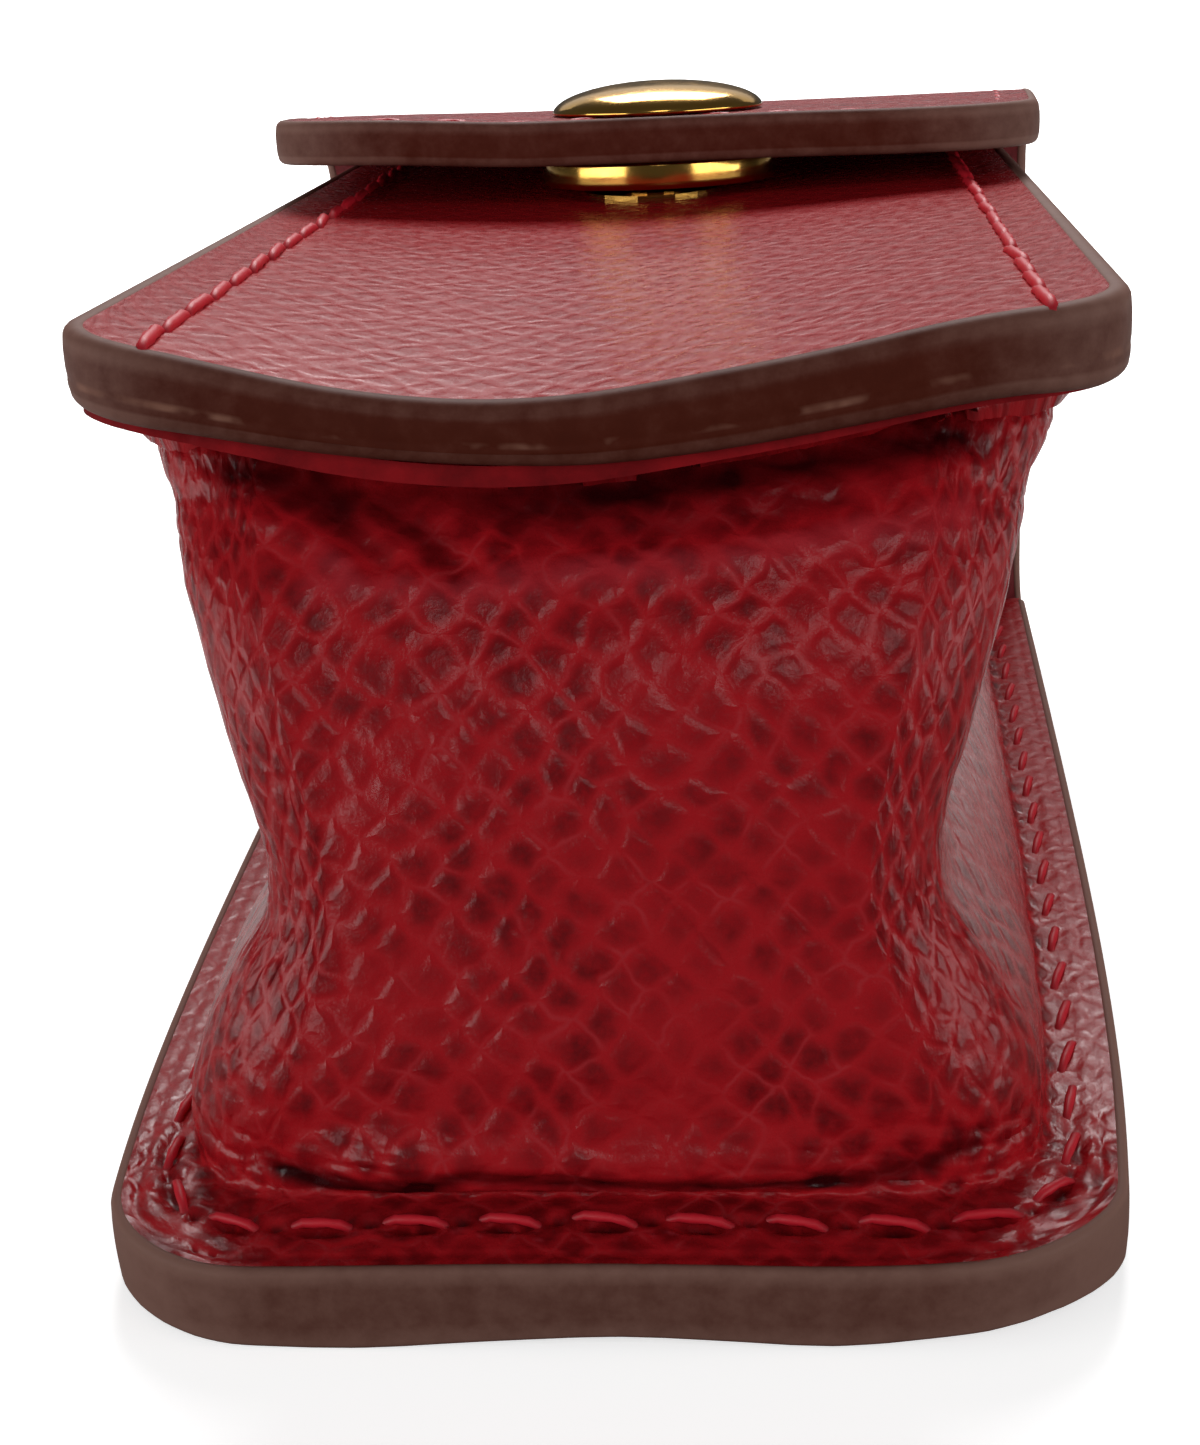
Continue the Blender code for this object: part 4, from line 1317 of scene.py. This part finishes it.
# The same for the gusset: steps along a side, round a corner and across the near face, and spans
# of its section, which are finest in the wrinkled foot and neck
gusset_steps = (56, 30, 124)
gusset_spans = (0.0, 1.0, 2.0, 2.22, 2.78, 3.0, 4.0, 5.0)
gusset_span_steps = (18, 8, 40, 36, 37, 10, 5)
gusset_lining_steps = (30, 8, 40)
gusset_lining_spans = (1.5, 3.5)
gusset_lining_span_steps = (59,)
turning_steps = 128


def bend_with_fold(piece):
    """Bakes a finished piece's transform into its points."""
    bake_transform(piece)


class CASE_OT_strip(bpy.types.Operator):
    """Make the strip's leather and lining, each in two pieces that meet in the cover's middle"""
    bl_idname = "case.strip"
    bl_label = "Strip leathers"

    def execute(self, context):
        rear_rows = spaced(rear_spans, rear_span_steps) / cover_middle
        flap_rows = spaced(flap_spans, flap_span_steps) - cover_middle
        flap_rows /= strip_length - cover_middle
        layers = (
            ("leather", "outer", "leather_red", (half_panel - outer_thickness, half_panel)),
            ("lining", "lining", "lining_red", (-half_panel, lining_thickness - half_panel)),
        )
        for layer, solid, slot, offsets in layers:
            rear = strip_sheet(f"strip_{layer}_rear", (0.0, cover_middle), offsets, layer,
                               rear_rows, rear_end_steps)
            flap = strip_sheet(f"strip_{layer}_flap", (cover_middle, strip_length), offsets, layer,
                               flap_rows, flap_end_steps)
            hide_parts(f"back_{solid}", f"rear_fold_{solid}", f"cover_{solid}")
            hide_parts(f"front_fold_{solid}", f"flap_{solid}")
            for piece in (rear, flap):
                bend_with_fold(piece)
        return {"FINISHED"}


class CASE_OT_front(bpy.types.Operator):
    """Make the front panel's leather and lining"""
    bl_idname = "case.front"
    bl_label = "Front panel"

    def execute(self, context):
        shares, cuts = corner_columns(front_bottom_width / 2 - front_trim,
                                      front_corner_radius - front_trim, front_end_steps)

        def surface(offset):
            def place(column, row):
                share, cut = shares[column.astype(int)], cuts[column.astype(int)]
                edge_y = front_edge_y(share * front_bottom_width / 2) + front_trim
                y = blend_value(edge_y + cut, gusset_mouth_y, row)
                return front_point(share * (front_half_width(y) - front_trim), y, offset)
            return place

        columns, rows = np.arange(len(shares)), spaced((0.0, 1.0), (front_row_steps,))
        leather = grid_piece("front_panel_leather", columns, rows, surface(panel_thickness),
                             (0, 0, 1))
        thicken(leather, outer_thickness, "leather", "edge")
        smooth = np.full(len(leather.data.vertices), front_smooth_share)
        write_attribute(leather, "smoothed", smooth)
        lining = grid_piece("front_panel_lining", columns, rows, surface(0.0), (0, 0, -1))
        thicken(lining, lining_thickness, "lining", "edge")
        for piece, solid, slot in ((leather, "front_outer", "leather_red"),
                                   (lining, "front_lining", "lining_red")):
            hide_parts(solid)
            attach(piece, "case")
        return {"FINISHED"}


def gusset_sheet(name, stations, rows):
    """A sheet along the gusset's middle, at all its stations and at rows of its section."""
    return grid_piece(name, np.arange(stations.shape[1]), rows,
                      lambda column, row: gusset_point(stations, column, row), (0, -1, 0),
                      lambda column, points: gusset_across(stations, column, points))


class CASE_OT_gusset(bpy.types.Operator):
    """Make the gusset with its folded waist and its wrinkles, and its lining"""
    bl_idname = "case.gusset"
    bl_label = "Gusset"

    def execute(self, context):
        stations = gusset_stations(*gusset_steps)
        rows = spaced(gusset_spans, gusset_span_steps)
        leather = gusset_sheet("gusset_leather", stations, rows)
        push_out(leather, gusset_thickness / 2)
        count = stations.shape[1]
        broad, relief, shade, smooth = gusset_relief(
            read_points(leather) / MM, stations, np.tile(np.arange(count), len(rows)),
            np.repeat(rows, count))
        push_out(leather, broad + relief)
        # The crease attribute holds the relief together with the painted shade strokes and the
        # fraying. The leather's finish paints creases darker as shade and ridges paler as
        # highlight.
        write_attribute(leather, "crease", relief + shade)
        write_attribute(leather, "smoothed", smooth)
        thicken(leather, gusset_thickness, "leather", "cut", even=False)
        lining = gusset_sheet("gusset_liner", gusset_stations(*gusset_lining_steps),
                              spaced(gusset_lining_spans, gusset_lining_span_steps))
        push_out(lining, -gusset_thickness / 2 - glue_line)
        thicken(lining, gusset_lining_thickness, "lining", "edge", even=False)
        for piece, solid, slot in ((leather, "gusset_outer", "leather_red"),
                                   (lining, "gusset_lining", "lining_red")):
            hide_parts(solid)
            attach(piece, "case")
        return {"FINISHED"}


# Dressed edges. The dressing stands a little proud of the leathers, and its hidden back is buried
# in them. Its side bulges, and its joint lies at a share of the thickness.
dressing_skin = 0.04
dressing_base = 0.02
dressing_swell = 0.05
dressing_buried = 0.4
side_shares = (0.3, 0.42, 0.5, 0.58, 0.64, 0.68, 0.72, 0.78)
hidden_shares = (0.8, 0.2)
back_edge_step = 0.7
flap_edge_step = 0.6
mouth_end_gap = 0.3
joint_belt = (0.66, 0.03)
rim_wear = 0.2
corner_wear = 0.5
corner_wear_start = 12.0
corner_wear_run = 8.0

# How an edge is dressed: how many times the usual rounding and wrap it has, how deep its joint
# lies, and how rubbed it is away from its rims and corners
EdgeLook = namedtuple("EdgeLook", "rounding wrap groove wear")
rear_edge_look = EdgeLook(1.0, 1.0, 0.0, 0.45)
flap_edge_look = EdgeLook(1.5, 1.0, 0.0, 0.1)
front_edge_look = EdgeLook(2.0, 2.0, 0.03, 0.05)


def rim_section(rounding, wrap, groove):
    """Section of a dressed edge: outward reach, share of the thickness and depth from a face."""
    angles = np.linspace(0.0, math.pi / 2, 6)
    skin, base = dressing_skin, dressing_base
    first = [(-rounding - wrap, 0.0, skin * 0.2), (-rounding - wrap * 0.7, 0.0, -skin)]
    first += [(-rounding + (rounding + base) * math.sin(angle), 0.0,
               rounding - (rounding + skin) * math.cos(angle)) for angle in angles]
    side = [(base + dressing_swell * math.sin(math.pi * share), share, 0.0)
            for share in side_shares]
    second = [(reach, 1.0, depth) for reach, share, depth in reversed(first)]
    inner = -wrap - rounding - dressing_buried
    back = [(inner, share, 0.0) for share in hidden_shares]
    section = np.array(first + side + second + back + first[:1])
    joint = belt(section[:, 1], *joint_belt)
    section[:, 0] -= groove * joint
    return section, joint


def edge_band(name, x, along, low_offset, high_offset, place, look, closed=False):
    """A dressed edge swept along an outline. Offsets are the stack's inner and outer faces."""
    sizes = bpy.context.scene.case_sizes
    rounding = look.rounding * (sizes.edge_rounding / MM)
    section, joint = rim_section(rounding, look.wrap * (sizes.edge_wrap / MM), look.groove)
    columns = [x, along, *outline_normals(x, along), low_offset, high_offset]
    if closed:
        columns = [np.append(values, values[0]) for values in columns]
    x, along, normal_x, normal_along, low_offset, high_offset = columns
    upward = np.sign(high_offset - low_offset)

    def surface(column, row):
        column = column.astype(int)
        reach, share, depth = section[row.astype(int)].T
        offset = blend_value(high_offset[column], low_offset[column], share)
        offset = offset - depth * (1 - 2 * share.round()) * upward[column]
        return place(x[column] + normal_x[column] * reach,
                     along[column] + normal_along[column] * reach, offset)

    piece = grid_piece(name, np.arange(len(x)), np.arange(len(section)), surface, (0, 0, 1))
    row_of = np.repeat(np.arange(len(section)), len(x))
    share = section[row_of, 1]
    at_rim = np.where((share == 0.0) | (share == 1.0), rim_wear, 0.0)
    from_middle = np.abs(read_points(piece)[:, 0] / MM)
    corner = np.clip((from_middle - corner_wear_start) / corner_wear_run, 0.0, 1.0)
    wear = np.clip(look.wear + at_rim + corner_wear * corner, 0, 1)
    write_attribute(piece, "rubbed", wear)
    write_attribute(piece, "joint", joint[row_of] * (look.groove > 0))
    edit_all(piece,
             (bpy.ops.mesh.remove_doubles, {"threshold": 0.001 * MM}),
             (bpy.ops.mesh.fill_holes, {"sides": len(section) + 2}),
             (bpy.ops.mesh.normals_make_consistent, {"inside": False}))
    piece.data.materials.append(finish_named("edge"))
    bpy.ops.object.shade_smooth_by_angle(angle=edge_smoothing)
    return piece


def front_outline():
    """Round the front panel, its mouth end included. The last point isn't the first again."""
    shares, cuts = tongue_outline(front_bottom_width / 2, front_corner_radius,
                                  gusset_mouth_y - front_bottom_y, outline_step)
    y = front_edge_y(shares * front_bottom_width / 2) + cuts
    y = np.minimum(y, gusset_mouth_y)
    x = shares * front_half_width(y)
    mouth_x = np.linspace(x[-1], x[0], 60)[1:-1]
    x = np.concatenate([x, mouth_x, x[:1]])
    y = np.concatenate([y, np.full(len(mouth_x), gusset_mouth_y), y[:1]])
    x, y = resample(x, y, outline_step)
    return x[:-1], y[:-1]


class CASE_OT_edges(bpy.types.Operator):
    """Make the dressed edges of the back and cover, of the flap and of the front panel"""
    bl_idname = "case.edges"
    bl_label = "Dressed edges"

    def execute(self, context):
        outer_edge_offset = level_at(half_panel)
        lining_edge_offset = level_at(-half_panel)
        shares, cuts = back_outline(back_edge_step)
        x, cuts = resample(shares * strip_half_width(cuts), cuts, outline_step)
        rear = edge_band("dressed_edge_rear", x, cuts, inner_edge_offset(cuts),
                         outer_edge_offset(x), strip_point, rear_edge_look)
        bend_with_fold(rear)
        shares, cuts = flap_outline(flap_edge_step)
        x, cuts = resample(shares * flap_half_width(cuts), cuts, outline_step)
        flap = edge_band("dressed_edge_flap", x, cuts, lining_edge_offset(x),
                         outer_edge_offset(x), flap_point, flap_edge_look)
        bend_with_fold(flap)
        x, y = front_outline()
        at_mouth = y >= gusset_mouth_y - mouth_end_gap
        low = np.where(at_mouth, 0.0, along_pairs(front_edge_base, x))
        front = edge_band("dressed_edge_front", x, y, low, level_at(panel_thickness)(x),
                          front_point, front_edge_look, closed=True)
        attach(front, "case")
        return {"FINISHED"}


class CASE_OT_stitches(bpy.types.Operator):
    """Make the saddle stitching of the back and cover, of the flap and of the front panel"""
    bl_idname = "case.stitches"
    bl_label = "Stitching"

    def execute(self, context):
        sizes = context.scene.case_sizes
        outer_face, lining_face = level_at(half_panel), level_at(-half_panel)
        holes = back_holes()
        rear = stitch_row("stitches_rear", [
            (*holes, strip_point, inner_edge_offset, -1, near_look),
            (*holes, strip_point, outer_face, 1, pressed_look)])
        bend_with_fold(rear)
        holes = row_of_holes(flap_outline(outline_step), flap_half_width)
        flap = stitch_row("stitches_flap", [
            (*holes, flap_point, lining_face, -1, pressed_look),
            (*holes, flap_point, outer_face, 1, pressed_look)])
        bend_with_fold(flap)
        start, end = front_bottom_y + front_row_starts, gusset_mouth_y - front_row_ends
        count = round((end - start) / (sizes.stitch_length / MM)) + 1
        y = np.linspace(start, end, count)
        top, under = level_at(panel_thickness), level_at(panel_thickness - edge_thickness)
        rows = []
        for side, inset in ((-1, sizes.front_inset_left), (1, sizes.front_inset_right)):
            x = side * (front_half_width(y) - inset / MM)
            under_x = side * (front_half_width(y) - front_under_inset)
            rows.append((x, y, front_point, top, 1, front_look))
            rows.append((under_x, y, front_point, under, -1, pressed_look))
        front = stitch_row("stitches_front", rows)
        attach(front, "case")
        return {"FINISHED"}


def turned_piece(name, profile, place, lean):
    """A section of radius and height pairs, spun about its axis and set on the flap."""
    deselect_all()
    bpy.ops.mesh.primitive_circle_add(vertices=len(profile), radius=1.0)
    piece = take_new(name)
    write_points(piece, np.array([(radius, 0.0, height) for radius, height in profile]) * MM)
    edit_all(piece,
             (bpy.ops.mesh.spin, {"steps": turning_steps, "angle": 2 * math.pi,
                                  "center": (0, 0, 0), "axis": (0, 0, 1)}),
             (bpy.ops.mesh.remove_doubles, {"threshold": 0.0005 * MM}),
             (bpy.ops.mesh.delete_loose, {}),
             (bpy.ops.mesh.normals_make_consistent, {"inside": False}))
    bpy.ops.object.shade_smooth_by_angle(angle=brass_smoothing)
    x, y, z = (read_points(piece) / MM).T
    cos, sin = math.cos(lean), math.sin(lean)
    leaning = np.stack([x, y * cos - z * sin, y * sin + z * cos], -1)
    write_points(piece, (leaning + place) * MM)
    piece.data.materials.clear()
    piece.data.materials.append(finish_named("brass"))
    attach(piece, "flap")
    return piece


def round_corner(radius, height, rounding, start, end, steps):
    """Points round a corner of a turned section, between two angles in degrees."""
    angles = np.radians(np.linspace(start, end, steps + 1))
    return [(radius + rounding * math.cos(angle), height + rounding * math.sin(angle))
            for angle in angles]


def cap_section():
    """Section of the cap and its hollow post. Height zero is the flap's face."""
    crown = metal_seat + cap_height
    edge = math.acos(1 - (cap_height - cap_rim_height) / cap_dome_height)
    dome_radius = cap_radius / math.sin(edge)
    centre = crown - cap_dome_height
    dome = [(dome_radius * math.sin(edge * share),
             centre + cap_dome_height * math.cos(edge * share))
            for share in np.linspace(0.0, 1.0, 41)]
    rim = round_corner(cap_radius - cap_rim_rounding, metal_seat + cap_rim_rounding,
                       cap_rim_rounding, 0, -90, 8)
    inner_radius, inner_height = dome_radius - cap_wall, cap_dome_height - cap_wall
    inside = [(radius, centre + inner_height * math.sqrt(1 - (radius / inner_radius) ** 2))
              for radius in np.linspace(cap_radius - cap_wall, cap_post_radius, 10)]
    bottom = -(panel_thickness + 2 * metal_seat + socket_plate + rolled_end_thickness)
    roll = rolled_end_thickness / 2
    rolled = round_corner(rolled_end_radius - roll, bottom + roll, roll, 90, -90, 6)
    bore = [(cap_bore_radius, bottom), (cap_bore_radius, -outer_thickness),
            (0.0, -outer_thickness)]
    return (dome + rim + [(cap_radius - cap_wall, metal_seat)] + inside
            + [(cap_post_radius, bottom + 2 * roll)] + rolled + bore)


def socket_section():
    """Section of the socket ring, as the solid has it. Height zero is the flap's inner face."""
    top, bottom = -metal_seat, -metal_seat - socket_height
    plate, lip = top - socket_plate, bottom + socket_lip
    hole = cap_post_radius + socket_clearance
    outer = round_corner(socket_radius - socket_rounding, bottom + socket_rounding,
                         socket_rounding, 0, -90, 8)
    upper = round_corner(socket_radius - socket_top_rounding, top - socket_top_rounding,
                         socket_top_rounding, 90, 0, 4)
    return ([(hole, top)] + upper + outer
            + [(socket_mouth_radius, bottom), (socket_mouth_radius, lip),
               (socket_groove_radius, lip), (socket_groove_radius, plate), (hole, plate)])


class CASE_OT_snap(bpy.types.Operator):
    """Turn the snap's cap and socket ring, and give its other parts the same polished brass"""
    bl_idname = "case.snap"
    bl_label = "Snap"

    def execute(self, context):
        snap_y = flap_tip_y + snap_inset * math.cos(flap_land_slope)
        up = np.array([0.0, math.sin(flap_land_slope), math.cos(flap_land_slope)])
        middle = np.array([cap_drift, snap_y, snap_z])
        cap = turned_piece("snap_cap_dome", cap_section(), middle + up * half_panel,
                           -flap_land_slope)
        ring = turned_piece("snap_socket_ring", socket_section(), middle - up * half_panel,
                            -flap_land_slope)
        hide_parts("snap_cap")
        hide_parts("snap_socket")
        for name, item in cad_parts.items():
            if name.startswith("snap"):
                for slot in item.material_slots:
                    slot.material = finish_named("brass")
        return {"FINISHED"}


# The studio. The camera's values were fitted to the photograph, in millimetres, radians and the
# photograph's own pixels.
floor_height = -0.32
white = (1, 1, 1, 1)
camera_place = (7.9, -105.978, 49.864)
camera_yaw = -0.1011
camera_pitch = 0.3704
camera_roll = 0.0578
focal_pixels = 2218.014
photo_height = 1445.0
sensor_width = 36.0

# Each lamp's place and what it points at in metres, its width and height, and its watts. The high
# top softbox draws the flap's shadow on the front panel, the long low ones shine along the
# gusset's sides, and the rear one stands where the flanges and the panels mirror it.
lamps = (
    ("top softbox", (0.0, 0.42, 0.44), (0.0, 0.0, 0.02), 0.3, 0.22, 3.5),
    ("front card", (0.05, -0.36, 0.3), (0.0, -0.03, 0.02), 0.12, 0.12, 0.22),
    ("left softbox", (-0.36, -0.24, 0.085), (0.0, -0.03, 0.02), 0.42, 0.16, 0.95),
    ("right softbox", (0.38, -0.2, 0.085), (0.0, -0.03, 0.02), 0.42, 0.16, 0.85),
    ("rear softbox", (0.0, 0.55, 0.3), (0.0, 0.0, 0.02), 0.9, 0.2, 0.34),
)


def studio_paper(colours):
    """Matt studio paper. The camera sees it pale, and brighter away from the case, with the case's
    shadow on it. The case itself mirrors a greyer table in front and the pale paper behind."""
    finish, add = new_finish("studio paper")
    path = add("LightPath")
    paper = add("BsdfDiffuse", {"Color": rgba(colours.floor)})
    place = add("TexCoord").outputs["Object"]
    away = add("VectorMath", {0: place}, operation="LENGTH").outputs["Value"]
    brighter = add("MapRange", {"Value": away, "From Min": 0.06, "From Max": 0.3,
                                "To Min": 0.62, "To Max": 1.0})
    glow = add("Emission", {"Color": white, "Strength": brighter})
    lit = add("AddShader", {0: paper, 1: glow})
    split = add("VectorMath", {0: place, 1: (-0.5, 1.0, 0.0)}, operation="DOT_PRODUCT")
    behind = add("MapRange", {"Value": split.outputs["Value"], "From Min": -0.035,
                              "From Max": 0.03, "To Max": 0.85})
    paler = add("Mix", {"Factor": behind, 6: rgba(colours.table), 7: rgba(colours.floor)},
                data_type="RGBA")
    table = add("BsdfDiffuse", {"Color": paler.outputs[2]})
    mixed = add("MixShader", {0: path.outputs["Is Camera Ray"], 1: table, 2: lit})
    add("OutputMaterial", {"Surface": mixed})
    return finish


class CASE_OT_stage(bpy.types.Operator):
    """Make the floor, the soft lamps, the pale surroundings and the camera"""
    bl_idname = "case.stage"
    bl_label = "Studio"

    def execute(self, context):
        scene = context.scene
        deselect_all()
        bpy.ops.mesh.primitive_plane_add(size=4.0, location=(0, 0, floor_height * MM))
        floor = context.object
        floor.name = "studio_floor"
        floor.data.transform(floor.matrix_world)
        floor.matrix_world = Matrix.Identity(4)
        floor.data.materials.append(studio_paper(scene.case_colours))

        world = bpy.data.worlds.new("pale studio")
        scene.world = world
        world.use_nodes = True
        world.node_tree.nodes.clear()
        add = partial(add_node, world.node_tree)
        path = add("LightPath")
        soft = add("Background", {"Color": white, "Strength": 0.08})
        bright = add("Background", {"Color": white, "Strength": 1.0})
        mixed = add("MixShader", {0: path.outputs["Is Camera Ray"], 1: soft, 2: bright})
        add("OutputWorld", {"Surface": mixed})

        for name, place, target, width, height, watts in lamps:
            lamp_data = bpy.data.lights.new(name, "AREA")
            lamp_data.shape = "RECTANGLE"
            lamp_data.size = width
            lamp_data.size_y = height
            lamp_data.energy = watts
            lamp = bpy.data.objects.new(name, lamp_data)
            scene.collection.objects.link(lamp)
            lamp.location = place
            aim = Vector(target) - Vector(place)
            lamp.rotation_euler = aim.to_track_quat("-Z", "Y").to_euler()

        camera_data = bpy.data.cameras.new("photograph view")
        camera = bpy.data.objects.new("photograph view", camera_data)
        scene.collection.objects.link(camera)
        ahead = math.cos(camera_pitch)
        forward = Vector((math.sin(camera_yaw) * ahead, math.cos(camera_yaw) * ahead,
                          -math.sin(camera_pitch)))
        level = Vector((math.cos(camera_yaw), -math.sin(camera_yaw), 0.0))
        down = forward.cross(level)
        right = math.cos(camera_roll) * level + math.sin(camera_roll) * down
        lower = -math.sin(camera_roll) * level + math.cos(camera_roll) * down
        turn = Matrix((right, -lower, -forward)).transposed().to_4x4()
        camera.matrix_world = Matrix.Translation(Vector(camera_place) * MM) @ turn
        camera_data.lens = focal_pixels * sensor_width / photo_height
        camera_data.sensor_width = sensor_width
        camera_data.clip_start = 0.005
        scene.camera = camera
        scene.view_settings.view_transform = "Standard"
        return {"FINISHED"}


class CASE_PT_panel(bpy.types.Panel):
    """Sizes, colours and steps of the lighter case"""
    bl_idname = "CASE_PT_panel"
    bl_label = "Lighter case"
    bl_space_type = "VIEW_3D"
    bl_region_type = "UI"
    bl_category = "Lighter case"

    def draw(self, context):
        layout = self.layout
        for group in (context.scene.case_sizes, context.scene.case_colours):
            for name in group.__annotations__:
                layout.prop(group, name)
        for step in steps:
            layout.operator(step.bl_idname)


steps = (CASE_OT_strip, CASE_OT_front, CASE_OT_gusset, CASE_OT_edges, CASE_OT_stitches,
         CASE_OT_snap, CASE_OT_stage)
classes = (CaseSizes, CaseColours, *steps, CASE_PT_panel)


def register():
    for item in classes:
        bpy.utils.register_class(item)
    bpy.types.Scene.case_sizes = bpy.props.PointerProperty(type=CaseSizes)
    bpy.types.Scene.case_colours = bpy.props.PointerProperty(type=CaseColours)


def unregister():
    del bpy.types.Scene.case_colours
    del bpy.types.Scene.case_sizes
    for item in reversed(classes):
        bpy.utils.unregister_class(item)


def main():
    register()
    bpy.ops.case.strip()
    bpy.ops.case.front()
    bpy.ops.case.gusset()
    bpy.ops.case.edges()
    bpy.ops.case.stitches()
    bpy.ops.case.snap()
    bpy.ops.case.stage()


if __name__ == "__main__":
    main()
